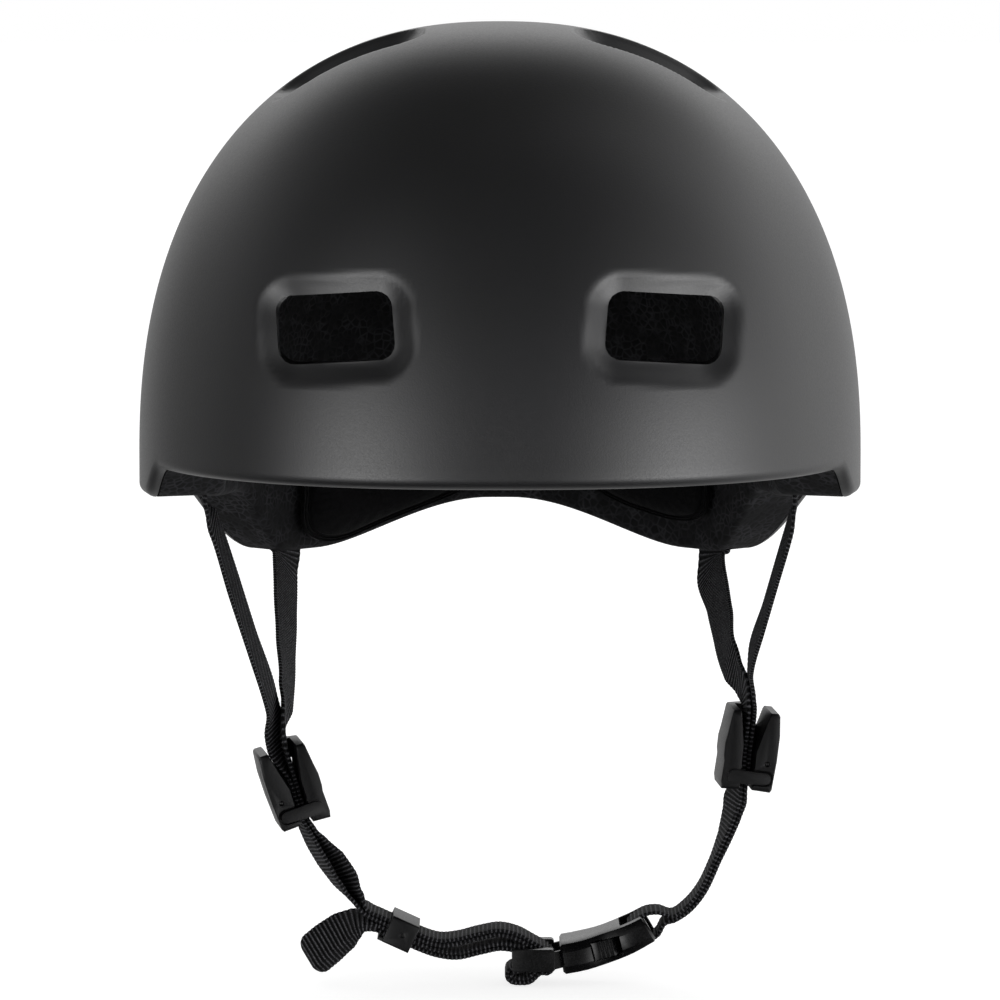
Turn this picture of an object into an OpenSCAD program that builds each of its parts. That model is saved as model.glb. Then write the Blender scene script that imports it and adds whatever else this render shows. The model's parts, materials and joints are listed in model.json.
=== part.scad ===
/* [Shell] */
// Width across the shell over the ears
shell_w = 214; // [206:1:228]
// Reach of the brow in front of the middle of the head opening
front_len = 132; // [126:1:142]
// Reach of the back of the head behind the middle of the head opening
rear_len = 132; // [126:1:142]
// Height of the crown above the front brim
crown_h = 128.5; // [122:0.5:138]
// Squareness of the dome, 2 being an ellipse
dome_n = 2.3; // [2.1:0.05:2.6]
// Height above the brim at which the back of the shell bulges furthest
bulge_h = 25; // [15:1:35]
// How far the nape tucks in below that bulge
nape_tuck = 8; // [3:1:12]
// Thickness of the moulded shell
shell_t = 2.4; // [1.8:0.1:3.0]
// Outer radius of the rolled lower rim
rim_roll = 3.5; // [3.2:0.1:4.5]

/* [Lower edge] */
// Drop of the edge where the brim ends at the temple
temple_drop = 9.5; // [6:0.5:12]
// Further drop of the edge over the ear
ear_drop = 5.5; // [3:0.5:8]
// Further drop of the edge to the lobes behind the ears
lobe_drop = 21.5; // [17:0.5:25]
// Rise of the edge from the lobes to the middle of the nape
nape_rise = 14; // [8:0.5:18]

/* [Liner] */
// Thickness of the foam liner at the sides
liner_side = 21.3; // [19:0.1:24]
// Thickness of the foam liner at the brow
liner_front = 19.5; // [17:0.1:22]
// Thickness of the foam liner at the back
liner_rear = 24.5; // [21:0.1:27]
// Thickness of the foam liner under the crown
liner_crown = 24.5; // [22:0.5:30]
// Radius of the liner's inner lower edge
liner_edge = 3; // [1.5:0.5:4]
// Gap between the liner and what it seats against
seat_gap = 0.3; // [0.2:0.05:0.5]

/* [Vents] */
// Width of the recess pressed round each vent
recess_w = 44; // [40:1:48]
// Height of the recess round each vent
recess_h = 30; // [27:1:33]
// Corner radius of the recess
recess_r = 10; // [6:0.5:12]
// Depth to which the recess is pressed below the shell
recess_d = 3.6; // [2.5:0.1:5]
// Width of the ledge round each vent hole
ledge_w = 5.5; // [4:0.25:7]
// Distance of the front vents from the middle
front_vent_x = 46; // [42:1:50]
// Height of the front vents above the brim
front_vent_z = 44; // [40:1:50]
// Distance of the top vents from the middle
top_vent_x = 44; // [40:1:48]
// Distance of the front pair of top vents ahead of the middle
top_vent_front = 24; // [20:1:27]
// Distance of the rear pair of top vents behind the middle
top_vent_rear = 33; // [28:1:38]
// Distance of the rear vents from the middle
rear_vent_x = 42; // [38:1:46]
// Height of the rear vents above the brim
rear_vent_z = 62; // [56:1:68]

/* [Pads] */
// Thickness of a comfort pad at its middle
pad_t = 7; // [5:0.5:8]
// Thickness of a pad at its welded border
pad_edge_t = 1.6; // [1.2:0.1:2.4]
// Thickness of the hook discs that hold the pads
disc_t = 1; // [0.8:0.1:1.3]
// Diameter of the hook discs
disc_d = 16; // [12:1:18]

/* [Webbing] */
// Width of the webbing
web_w = 15; // [13:0.5:16]
// Thickness of the webbing
web_t = 1.3; // [1.0:0.1:1.5]
// Space between two layers of webbing that lie together
web_gap = 0.15; // [0.1:0.05:0.25]

/* [Dividers] */
// Height of a divider
gate_h = 24; // [22:0.5:26]
// Length of a divider's gate from its latch to its hinge
divider_l = 22.2; // [20:0.2:24]
// Thickness of a divider's gate
gate_t = 6.8; // [5.8:0.1:7.4]
// Thickness of a divider's inner plate
plate_t = 5.8; // [4.8:0.1:6.6]
// Diameter of the hinge pin
pin_d = 2; // [1.6:0.1:2.4]
// Running clearance round the hinge pin
pin_gap = 0.05; // [0.03:0.01:0.1]

/* [Buckle] */
// Width of the buckle
buckle_w = 24; // [23:0.5:26]
// Thickness of the buckle's socket
socket_t = 10.4; // [9.8:0.2:11.2]
// Length of the buckle's socket
socket_l = 28.4; // [27.4:0.2:30]
// Radius of the curve that the socket follows under the chin
chin_r = 70; // [60:1:80]
// Diameter of the bars of the ladder lock
bar_d = 3; // [2.6:0.1:3.2]
// Height of the socket's cavity
cavity_h = 6; // [5.6:0.1:6.2]
// Clearance between the two halves of the buckle
buckle_gap = 0.3; // [0.2:0.05:0.4]

/* [Keeper] */
// Length of the strap keeper along the webbing
keeper_l = 8.6; // [7:0.2:9]
// Wall of the strap keeper
keeper_wall = 1.3; // [1:0.1:1.6]

/* [Hidden] */
little = 0.01;
black = "#1c1c1e";
foam_grey = "#3a3a3c";
web_black = "#202022";

layer = web_t + web_gap;
half_layer = layer / 2;
hole_w = recess_w - 2 * ledge_w;
hole_h = recess_h - 2 * ledge_w;
hole_r = recess_r - ledge_w;
gate_gap = 2 * layer + 0.9;
shell_rows = 9;
disc_lift = 1.2;
pad_stand = disc_t + disc_lift + 0.2;

// The chin strap hangs in one plane across the head
chin_y = 18;
// Where the webbing leaves each divider, with the divider's lean outward and turn about the upright
left_exit = [73, chin_y, -102.3];
left_lean = 6;
left_turn = 4;
right_exit = [-59.6, chin_y, -112.6];
right_lean = 17;
right_turn = -8;
// Where the straps leave the liner: angle from the brow, depth in its wall, height and turn of the width
front_slot = [76, 5, -14.5, -5];
rear_slot = [140, 6.5, -36.5, 36];
// Turn of the webbing's width a third and two thirds of the way down, for the left and the right side
front_twist = [[2, 2], [20, 26]];
rear_twist = [[42, 34], [28, 16]];
anchor_rise = 27;
anchor_pin_d = 3;
// The socket's mouth, the slope of the socket there and the slope along which the plug slides
mouth = [18.6, chin_y, -154];
mouth_slope = 8;
slide_slope = 14;
ladder_bar = [13, -155.4];
lever_bar = [5.6, -154.2];
wrap_r = bar_d / 2 + 0.1 + web_t / 2 + half_layer;
keeper_at = [-30, chin_y, -146.6];
keeper_slope = -24.5;

// Angles round the head from the brow, closer together where the lower edge turns
side_angles = [0, 10, 20, 30, 40, 49, 56, 60, 64, 69, 77, 87, 97, 107, 117, 122, 127, 132, 138,
  146, 155, 164, 172, 180];
columns = concat(side_angles, [for (i = [len(side_angles) - 2:-1:1]) -side_angles[i]]);

function ramp(a, from, to) =
  let (s = min(1, max(0, (a - from) / (to - from)))) s * s * (3 - 2 * s);
function unit(v) = v / norm(v);
function backwards(list) = [for (i = [len(list) - 1:-1:0]) list[i]];

// Height of the lower edge at an angle from the brow
function edge_z(a) = let (b = abs(a))
  -temple_drop * ramp(b, 58, 68) - ear_drop * ramp(b, 68, 112)
  - lobe_drop * ramp(b, 119, 138) + nape_rise * ramp(b, 146, 178);

// A dome is its half width, reach forward and back, height, bulge height and nape tuck
function shell_dome(inset) =
  [shell_w / 2 - inset, front_len - inset, rear_len - inset, crown_h - inset, bulge_h, nape_tuck];
liner_dome = [shell_w / 2 - shell_t - seat_gap - liner_side, front_len - shell_t - seat_gap - liner_front,
  rear_len - shell_t - seat_gap - liner_rear, crown_h - shell_t - seat_gap - liner_crown, 0, 0];

function share(u) = pow(1 - pow(min(1, max(0, u)), dome_n), 1 / dome_n);
function rear_reach(d, z) = z > d[4]
  ? d[2] * share((z - d[4]) / (d[3] - d[4]))
  : d[2] - d[5] * pow((d[4] - z) / (bulge_h - edge_z(180)), 2);
function reach(d, a, z) =
  let (w = d[0] * share(z / d[3]), l = cos(a) > 0 ? d[1] * share(z / d[3]) : rear_reach(d, z))
  pow(pow(abs(sin(a)) / w, dome_n) + pow(abs(cos(a)) / l, dome_n), -1 / dome_n);
function dome_point(d, a, z, inset = 0) =
  let (r = reach(d, a, z) - inset) [r * sin(a), -r * cos(a), z];
function ring(d, lift, inset) = [for (a = columns) dome_point(d, a, edge_z(a) + lift, inset)];
// Rings from a height above the edge to just below the crown
function dome_rings(d, lift, rows) = [for (j = [0:rows - 1]) [for (a = columns)
  let (foot = edge_z(a) + lift, s = pow(sin(90 * j / rows), 2 / dome_n))
  dome_point(d, a, foot + (d[3] - foot) * s)]];

// A closed skin through rings of equal count, each end drawn to a point
// The quads' diagonals rise to the same side up or down a wall, so nested skins keep apart
module skin(rings, first, last) {
  n = len(rings[0]);
  m = len(rings);
  points = concat([first], [for (r = rings) each r], [last]);
  polyhedron(points, concat(
    [for (k = [0:n - 1]) [0, 1 + k, 1 + (k + 1) % n]],
    [for (i = [0:m - 2], k = [0:n - 1])
      let (a = 1 + i * n + k, b = 1 + i * n + (k + 1) % n, up = rings[i + 1][0][2] > rings[i][0][2])
      each k < n / 2 == up ? [[a, a + n, b + n], [a, b + n, b]] : [[a, a + n, b], [b, a + n, b + n]]],
    [for (k = [0:n - 1]) [m * n + 1, 1 + (m - 1) * n + (k + 1) % n, 1 + (m - 1) * n + k]]),
    convexity = 6);
}

function middle(list) = [for (k = [0:2]) [for (p = list) p[k]] * [for (p = list) 1] / len(list)];
module skin_between(rings) {
  skin(rings, middle(rings[0]), middle(rings[len(rings) - 1]));
}

// A solid dome down past its lower edge
module dome_solid(d, below) {
  low = [for (a = columns) let (p = dome_point(d, a, edge_z(a))) [p[0], p[1], p[2] - below]];
  skin(concat([low], dome_rings(d, 0, shell_rows)), [0, 0, edge_z(180) - below - 30], [0, 0, d[3]]);
}

module shell_skin() {
  outer = shell_dome(0);
  inner = shell_dome(shell_t);
  outer_rim = [for (b = [0:45:45]) ring(outer, rim_roll * (1 - cos(b)), rim_roll * (1 - sin(b)))];
  inner_rim = [ring(inner, shell_t, rim_roll - shell_t)];
  skin(concat(backwards(concat(inner_rim, dome_rings(inner, rim_roll, shell_rows))),
    outer_rim, dome_rings(outer, rim_roll, shell_rows)), [0, 0, inner[3]], [0, 0, outer[3]]);
}

module liner_skin() {
  outer = shell_dome(shell_t + seat_gap);
  step_in = rim_roll - shell_t;
  outer_rim = [ring(outer, 0, step_in), ring(outer, shell_t + seat_gap, step_in)];
  inner_rim = [for (b = [0:45:45])
    ring(liner_dome, liner_edge * (1 - cos(b)), -liner_edge * (1 - sin(b)))];
  skin(concat(backwards(concat(inner_rim, dome_rings(liner_dome, liner_edge, shell_rows))),
    outer_rim, dome_rings(outer, rim_roll + seat_gap, shell_rows)), [0, 0, liner_dome[3]], [0, 0, outer[3]]);
}

module vent_column(w, h, r, grow, l) {
  hull() for (x = [-1, 1], y = [-1, 1])
    translate([x * (w / 2 - r), y * (h / 2 - r), 0]) cylinder(l, r + grow, r + grow, $fn = 12);
}

// Columns through all eight vents, grown all round by a margin
module vent_columns(w, h, r, grow) {
  for (side = [-1, 1]) {
    translate([side * front_vent_x, -front_len * 0.45, front_vent_z])
      rotate([90, 0, 0]) rotate([0, 0, side * -3]) vent_column(w, h, r, grow, front_len * 0.65);
    translate([side * rear_vent_x, rear_len * 0.45, rear_vent_z])
      rotate([90, 0, 180]) rotate([0, 0, side * 3]) vent_column(w, h, r, grow, rear_len * 0.65);
    for (y = [-top_vent_front, top_vent_rear]) translate([side * top_vent_x, y, crown_h * 0.5])
      vent_column(w, h, r, grow, crown_h * 0.65);
  }
}

module outer_shell() {
  color(black) difference() {
    union() {
      shell_skin();
      difference() {
        intersection() {
          vent_columns(recess_w, recess_h, recess_r, shell_t);
          dome_solid(shell_dome(shell_t / 2), -2);
        }
        dome_solid(shell_dome(recess_d + shell_t), 2);
      }
    }
    difference() {
      vent_columns(recess_w, recess_h, recess_r, 0);
      dome_solid(shell_dome(recess_d), 2);
    }
    vent_columns(hole_w, hole_h, hole_r, 0);
  }
}

// A pocket and slot for one strap, its width along x, its outer side towards -y
module strap_pocket() {
  translate([-web_w / 2 - 0.4, -1.2, -3]) cube([web_w + 0.8, 2.4, 20]);
  translate([-web_w / 2 - 3.2, -30, 12]) cube([web_w + 6.4, 33.2, anchor_rise - 7]);
}

// A slot's middle, a set depth into the wall from the liner's inner face
function slot_place(side, s) =
  let (p = dome_point(liner_dome, s[0], 0, -s[1])) [side * p[0], p[1], s[2]];
// The direction of webbing's width at a turn from straight back
function width_at(side, turn) = [-side * sin(turn), cos(turn), 0];
module at_slot(side, s) {
  translate(slot_place(side, s)) rotate([0, 0, side * (90 + s[3])]) children();
}

module foam_liner() {
  color(foam_grey) difference() {
    liner_skin();
    difference() {
      vent_columns(recess_w, recess_h, recess_r, shell_t + seat_gap);
      dome_solid(shell_dome(recess_d + shell_t + seat_gap), 2);
    }
    vent_columns(hole_w, hole_h, hole_r, 1);
    for (side = [-1, 1]) {
      at_slot(side, front_slot) strap_pocket();
      at_slot(side, rear_slot) strap_pocket();
    }
  }
}

// Each strap hangs from a steel pin pressed into its pocket
module strap_anchors() {
  color("#8a8d90") for (side = [-1, 1]) {
    at_slot(side, front_slot) anchor_pin();
    at_slot(side, rear_slot) anchor_pin();
  }
}
module anchor_pin() {
  translate([-web_w / 2 - 3.2, 0, anchor_rise]) rotate([0, 90, 0])
    cylinder(web_w + 6.4, anchor_pin_d / 2, anchor_pin_d / 2, $fn = 16);
}

// Pads: a point of a wall pad at x along the girth and y up the wall, lifted off the liner
function wall_point(pad, x, y, lift) =
  let (a = pad[0] + x / 95 * 180 / PI, z = edge_z(a) * pad[5] + pad[1] + y)
  dome_point(liner_dome, a, z, lift);
function crown_point(pad, x, y, lift) =
  let (v = y + pad[1], a = atan2(x, -v), r = max(norm([x, v]), little), far = reach(liner_dome, a, 0))
  [x, v, liner_dome[3] * share(r / far) - lift];
// The outline is a squared oval with its long sides drawn in
function pad_outline(pad, t) =
  let (c = cos(t), s = sin(t), r = pow(pow(abs(c), 4.5) + pow(abs(s), 4.5), -1 / 4.5),
    draw = 1 - 0.035 * pow(cos(2 * t), 4))
  [pad[2] / 2 * r * c * draw, pad[3] / 2 * r * s * draw];
function pad_height(f) = f >= 0.9 ? pad_edge_t
  : pad_edge_t + (pad_t - pad_edge_t) * pow(1 - pow(f / 0.9, 3), 0.55);

module pad(p) {
  steps = 22;
  // Angle, height, width, height of the pad, whether it is at the crown, how far it follows the edge
  function at(t, f, lift) = let (o = pad_outline(p, t) * f)
    p[4] ? crown_point(p, o[0], o[1], lift) : wall_point(p, o[0], o[1], lift);
  face = [for (f = [0.3, 0.6, 0.8, 0.89, 0.91, 1])
    [for (i = [0:steps - 1]) at(360 * i / steps, f, pad_stand + pad_height(f))]];
  back = [for (f = [1, 0.6, 0.3]) [for (i = [0:steps - 1]) at(360 * i / steps, f, pad_stand)]];
  color(black) skin(concat(face, back), at(0, 0, pad_stand + pad_t), at(0, 0, pad_stand));
}

module disc(p, x, y) {
  steps = 10;
  function at(t, f, lift) = let (u = x + disc_d / 2 * f * cos(t), v = y + disc_d / 2 * f * sin(t))
    p[4] ? crown_point(p, u, v, lift) : wall_point(p, u, v, lift);
  rings = [for (h = [disc_t + disc_lift, disc_lift]) [for (i = [0:steps - 1]) at(360 * i / steps, 1, h)]];
  skin(rings, at(0, 0, disc_t + disc_lift), at(0, 0, disc_lift));
}

brow = [0, 17, 138, 26, false, 0];
crown = [0, 0, 46, 104, true, 0];
left_side = [90, 30, 74, 34, false, 0];
right_side = [-90, 30, 74, 34, false, 0];
left_rear = [151, 26, 50, 34, false, 1];
right_rear = [-158, 19, 62, 34, false, 1];

module brow_pad() { pad(brow); }
module crown_pad() { pad(crown); }
module left_side_pad() { pad(left_side); }
module right_side_pad() { pad(right_side); }
module left_rear_pad() { pad(left_rear); }
module right_rear_pad() { pad(right_rear); }
module pad_hook_discs() {
  color("#2a2a2c") {
    for (p = [brow, left_side, right_side, left_rear, right_rear], x = [-1, 1]) disc(p, x * p[2] / 4, 0);
    for (y = [-1, 1]) disc(crown, 0, y * crown[3] / 4);
  }
}

// Webbing: rows of a point and the direction of the width, smoothed and then skinned
// The curve through the points keeps to short spans where they lie close together
function curve(p, i, t) =
  let (n = len(p), b = p[i], c = p[i + 1],
    a = i > 0 ? p[i - 1] : 2 * b - c,
    d = i < n - 2 ? p[i + 2] : 2 * c - b,
    u = sqrt(norm(b - a)), v = sqrt(norm(c - b)), w = sqrt(norm(d - c)),
    m = (c - b) + v * ((b - a) / u - (c - a) / (u + v)),
    q = (c - b) + v * ((d - c) / w - (d - b) / (v + w)))
  b + m * t + (3 * (c - b) - 2 * m - q) * t * t + (m + q - 2 * (c - b)) * t * t * t;
function smooth(list, k) = concat(
  [for (i = [0:len(list) - 2], j = [0:k - 1]) curve(list, i, j / k)], [list[len(list) - 1]]);
function blend(list, k) = concat(
  [for (i = [0:len(list) - 2], j = [0:k - 1]) list[i] + (list[i + 1] - list[i]) * j / k],
  [list[len(list) - 1]]);

module webbing(rows) {
  k = 2;
  points = smooth([for (r = rows) r[0]], k);
  sides = blend([for (r = rows) r[1]], k);
  n = len(points);
  color(web_black) skin_between([for (i = [0:n - 1])
    let (t = unit(points[min(n - 1, i + 1)] - points[max(0, i - 1)]),
      s = unit(sides[i] - (sides[i] * t) * t),
      u = cross(t, s) * web_t / 2, v = s * web_w / 2, p = points[i])
    [p + u - v, p - u - v, p - u + v, p + u + v]]);
}

// Rows of a path in the chin plane from points of x, z and twist, held off it to one side
function chin_rows(path, off) = let (n = len(path)) [for (i = [0:n - 1])
  let (a = path[max(0, i - 1)], b = path[min(n - 1, i + 1)], t = unit([b[0] - a[0], b[1] - a[1]]),
    across = [-t[1], 0, t[0]])
  [[path[i][0], chin_y, path[i][1]] + across * (off + path[i][3]),
    [0, cos(path[i][2]), 0] + across * sin(path[i][2])]];
function arc(c, r, angles) = [for (a = angles) [c[0] + r * cos(a), c[1] + r * sin(a), 0, 0]];

// A divider's frame stands on the point where the webbing leaves it
function divider_point(side, foot, lean, turn, p) =
  let (x = p[0] * cos(lean) + p[2] * sin(lean), z = p[2] * cos(lean) - p[0] * sin(lean))
  [foot[0] + side * (x * cos(turn) - p[1] * sin(turn)),
    foot[1] + x * sin(turn) + p[1] * cos(turn), foot[2] + z];
module at_divider(side) {
  foot = side > 0 ? left_exit : right_exit;
  translate(foot) scale([side, 1, 1])
    rotate([0, side > 0 ? left_lean : right_lean, side > 0 ? left_turn : right_turn])
    children();
}

// The looped upper end of a strap round its anchor pin, seen along the pin
function loop_rows(slot, out, width) =
  let (r = anchor_pin_d / 2 + 0.15 + web_t / 2, h = anchor_rise)
  [for (q = [[-r, h - 10], [-r, h], [-r * 0.7, h + r * 0.7], [0, h + r], [r * 0.7, h + r * 0.7], [r, h],
    [r * 0.6, h - 6], [0, h - 15], [0, 6], [0, -1]])
    [slot + out * q[0] + [0, 0, q[1]], width]];

// A front strap lies in the outer layer and a rear strap in the inner layer
function strap_rows(side, front) =
  let (foot = side > 0 ? left_exit : right_exit, lean = side > 0 ? left_lean : right_lean,
    turn = side > 0 ? left_turn : right_turn, w = front ? half_layer : -half_layer,
    place = front ? front_slot : rear_slot, slot = slot_place(side, place),
    width = width_at(side, place[3]), out = [side * width[1], -side * width[0], 0],
    twist = (front ? front_twist : rear_twist)[side > 0 ? 0 : 1],
    u = width_at(side, turn), top = gate_h,
    bend = front
      ? [[w + 2, -3.4, top + 14, (twist[1] + turn) / 2], [w + 0.9, -0.9, top + 5, turn],
        [w + 0.25, 0, top, turn]]
      : [[w - 2.6, 10.5, top + 12.6, turn], [w - 1.2, 4.2, top + 7.6, turn],
        [w - 0.6, 1.4, top + 4.9, turn], [w - 0.35, 0.3, top + 2.5, turn], [w - 0.25, 0, top, turn]],
    near = divider_point(side, foot, lean, turn, bend[0]),
    away = slot + (front ? [side * 0.1, 1.6, -5] : [-side * 0.2, -2.4, -4.2]),
    chin = chin_rows(side > 0 ? left_run : right_run, side > 0 ? w : -w),
    last = chin[butt - 1][0] + (chin[butt][0] - chin[butt - 1][0]) * 0.92)
  concat(loop_rows(slot, out, width), [[away, width]],
    [for (k = [0, 1]) [away + (near - away) * (k + 1) / 3, width_at(side, twist[k])]],
    [for (q = bend) [divider_point(side, foot, lean, turn, q), width_at(side, q[3])]],
    [for (z = [top / 2, 1.5]) [divider_point(side, foot, lean, turn, [w, 0, z]), u]],
    [for (i = [1:butt - 1]) chin[i]], [[last, chin[butt][1]]]);

// The chin strap's two layers run along these paths of x, z, twist and bulge
butt = 3;
left_run = [[73.3, -99, -6, 0], [72.1, -106.5, -16, 0], [70.8, -111.5, -11, 0], [69, -116.6, -5, 0],
  [65.2, -125.2, 0, 0], [61.3, -133.6, 0, 0], [57, -139, 0, 0], [52.6, -142, 0, 0]];
right_run = [[-60.5, -109.6, 6, 0], [-58.2, -116, -14, 0], [-55.9, -120.6, -16, 0], [-53.3, -125.2, -16, 0],
  [-49.3, -131.2, -13, 0], [-44.9, -136.4, -7, 0], [-40.4, -140.1, 0, 0], [-35.8, -142.4, 0, 0],
  [-29.4, -145.28, 0, 0], [-23, -148.2, 0, 0], [-18.2, -149.5, 0, 0], [-12.5, -149, 0, 0],
  [-6.3, -147.4, 0, 0], [0, -146.4, 0, 0], [5.2, -147.6, 0, 0], [9.3, -149.8, 0, 0]];
bulge = [0, 0.6, 1.8, 2.8, 2.6, 1.4, 0.3];
// Under the ladder lock, the middle of the turn there, and the way back to the keeper
under_lock = [[8.8, -160.8, 0, 0], [6, -161.1, 0, 0]];
lock_turn = [4.4, -159.3];
return_run = [[0, -151, 0, 0], [-5.7, -152.4, 0, 0], [-13, -154, 0, 0], [-19, -153.1, 0, 0],
  [-24.2, -150.8, 0, 0], [-30.6, -147.92, 0, 0], [-37, -145, 0, 0]];

left_bar = [42, -146.1];
bar_slope = 29;
function along(c, a, x, z) = [c[0] + x * cos(a) - z * sin(a), c[1] + x * sin(a) + z * cos(a), 0, 0];

module left_chin_strap() {
  down = backwards([for (i = [butt:len(left_run) - 1]) chin_rows(left_run, -half_layer)[i]]);
  up = [for (i = [butt:len(left_run) - 1]) chin_rows(left_run, half_layer)[i]];
  lift = bar_d * 0.9 + 0.3 + web_t / 2;
  turn = [for (q = [[8, -1.7], [4.6, -lift], [1, -lift], [-1.7, -lift * 0.75], [-2.6, 0],
    [-1.7, lift * 0.75], [1, lift], [4.6, lift], [8, 2.2]]) along(left_bar, bar_slope, q[0], q[1])];
  webbing(concat(up, [for (q = turn) [[q[0], chin_y, q[1]], [0, 1, 0]]], down));
}

module right_layer(off) {
  run = [for (i = [0:len(right_run) - 1]) let (q = right_run[i])
    [q[0], q[1], q[2], off > 0 && i < len(bulge) ? bulge[i] : 0]];
  path = concat(run, arc(ladder_bar, wrap_r, [70, 25, -20, -65, -110]), under_lock,
    arc(lock_turn, 1.6, [-110, -160, 150, 100]), arc(lever_bar, wrap_r, [-70, -25, 20, 65, 95]), return_run);
  rows = chin_rows(path, off);
  webbing([for (i = [butt:len(rows) - 1]) rows[i]]);
}
module right_chin_strap_outer() { right_layer(-half_layer); }
module right_chin_strap_inner() { right_layer(half_layer); }

module left_front_strap() { webbing(strap_rows(1, true)); }
module left_rear_strap() { webbing(strap_rows(1, false)); }
module right_front_strap() { webbing(strap_rows(-1, true)); }
module right_rear_strap() { webbing(strap_rows(-1, false)); }

// The free end is folded and sewn into a thick tab: x, z, twist and thickness
tail = [[-37.1, -144.95, 0, 2.75], [-40.6, -144, -6, 2.9], [-44, -144.7, -20, 3.8], [-48, -147.3, -32, 4.8],
  [-52.6, -150.9, -36, 5.2], [-56, -153.7, -36, 4.4], [-57.5, -155, -36, 2.2]];

module strap_tail_end() {
  rows = chin_rows([for (q = tail) [q[0], q[1], q[2], 0]], 0);
  n = len(rows);
  color(web_black) skin_between([for (i = [0:n - 1])
    let (p = rows[i][0], s = unit(rows[i][1]), t = unit(rows[min(n - 1, i + 1)][0] - rows[max(0, i - 1)][0]),
      w = web_w / 2, h = tail[i][3] / 2)
    [for (q = [[-1, 0.6], [-0.93, 1], [0.93, 1], [1, 0.6], [1, -0.6], [0.93, -1], [-0.93, -1], [-1, -0.6]])
      p + s * w * q[0] - cross(t, s) * h * q[1]]]);
}

module at_keeper() {
  translate(keeper_at) rotate([0, -keeper_slope, 0]) children();
}
module strap_keeper() {
  high = 4 * layer + 0.35;
  wide = web_w + 0.6;
  out_h = high + 2 * keeper_wall;
  out_w = wide + 2 * keeper_wall;
  color(black) at_keeper() difference() {
    union() {
      hull() for (y = [-1, 1], z = [-1, 1])
        translate([-keeper_l / 2, y * (out_w / 2 - 0.8), z * (out_h / 2 - 0.8)]) rotate([0, 90, 0])
          cylinder(keeper_l, 0.8, 0.8, $fn = 16);
      translate([-keeper_l / 2 - 1.6, -out_w / 2 + 1, -out_h / 2]) cube([2, out_w - 2, keeper_wall - 0.15]);
    }
    translate([-keeper_l, -wide / 2, -high / 2]) cube([2 * keeper_l, wide, high]);
    translate([0.6, -out_w / 2, 0]) rotate([90, 0, 0]) cylinder(1.6, 0.7, 0.7, center = true, $fn = 16);
  }
}

// Dividers: x points away from the head, y to the rear and z up
front_y = -13;
pin_y = front_y + divider_l + 2.2;
knuckle_r = 2.6;
half_gap = gate_gap / 2;
tooth = 0.35;

// A bar with eased ends, its outline in x and z drawn from front to rear
module eased_bar(outline, from, to) {
  mid = [for (p = outline) 1] * outline / len(outline);
  function at(y, f) = [for (p = outline) let (q = mid + (p - mid) * f) [q[0], y, q[1]]];
  skin_between([at(from, 0.9), at(from + 0.35, 0.97), at(from + 1, 1),
    at(to - 1, 1), at(to - 0.35, 0.97), at(to, 0.9)]);
}

module divider_plate(side) {
  h = gate_h;
  o = half_gap;
  color(black) at_divider(side) difference() {
    union() {
      eased_bar([[-o, 0.3], [-o - plate_t * 0.93, 0], [-o - plate_t, 2], [-o - plate_t * 0.95, h * 0.35],
        [-o - plate_t, h * 0.42], [-o - plate_t, h * 0.58], [-o - plate_t * 0.9, h * 0.72],
        [-o - plate_t * 0.76, h - 0.6], [-o - plate_t * 0.7, h], [-o - plate_t * 0.33, h],
        [-o - plate_t * 0.28, h - 0.6], [-o, h * 0.58], [-o, 7.8], [-o + tooth, 7], [-o, 6.4], [-o, 5.8],
        [-o + tooth, 4.6], [-o, 3.8]], front_y, pin_y - knuckle_r - 0.3);
      for (z = [0, h * 0.75]) hull() {
        translate([0, pin_y, z]) cylinder(h / 4 - pin_gap, knuckle_r, knuckle_r, $fn = 16);
        translate([-o - 3, pin_y - 3.6, z]) cylinder(h / 4 - pin_gap, 1, 1, $fn = 12);
      }
      hull() for (x = [-o - 2, o + 3.4])
        translate([x, front_y + 0.2, 4.2]) rotate([90, 0, 0])
          cylinder(1.5, x > 0 ? 1.7 : 2.1, x > 0 ? 1.7 : 2.1, $fn = 16);
    }
    translate([0, pin_y, -1]) cylinder(h + 2, pin_d / 2 + pin_gap, pin_d / 2 + pin_gap, $fn = 16);
  }
}

module divider_gate(side) {
  h = gate_h;
  o = half_gap;
  color(black) at_divider(side) difference() {
    union() {
      eased_bar([[o, 0.3], [o, 1.6], [o - tooth, 2.4], [o, 3.5], [o, 4.5], [o - tooth, 5.3],
        [o, 6.3], [o, h * 0.5],
        [o + gate_t * 0.45, h * 0.97], [o + gate_t * 0.52, h], [o + gate_t * 0.84, h],
        [o + gate_t * 0.92, h * 0.97], [o + gate_t, h * 0.72], [o + gate_t * 0.98, h * 0.4],
        [o + gate_t * 0.88, 0.8], [o + gate_t * 0.8, 0]], front_y, pin_y - knuckle_r - 0.3);
      hull() {
        translate([0, pin_y, h * 0.25 + pin_gap])
          cylinder(h / 2 - 2 * pin_gap, knuckle_r, knuckle_r, $fn = 16);
        translate([o + 3, pin_y - 3.8, h * 0.25 + pin_gap]) cylinder(h / 2 - 2 * pin_gap, 1, 1, $fn = 12);
      }
    }
    translate([0, pin_y, -1]) cylinder(h + 2, pin_d / 2 + pin_gap, pin_d / 2 + pin_gap, $fn = 16);
    hull() for (x = [-o - 2, o + 3.6])
      translate([x, front_y - 1, 4.2]) rotate([90, 0, 0]) cylinder(5.2, 2.4, 2.4, center = true, $fn = 16);
    translate([o + gate_t * 0.55, front_y, 8.6]) sphere(0.8, $fn = 16);
    translate([o + gate_t - 0.9, front_y + 6, h * 0.3]) cube([3, 1.5, h * 0.5]);
  }
}

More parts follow.
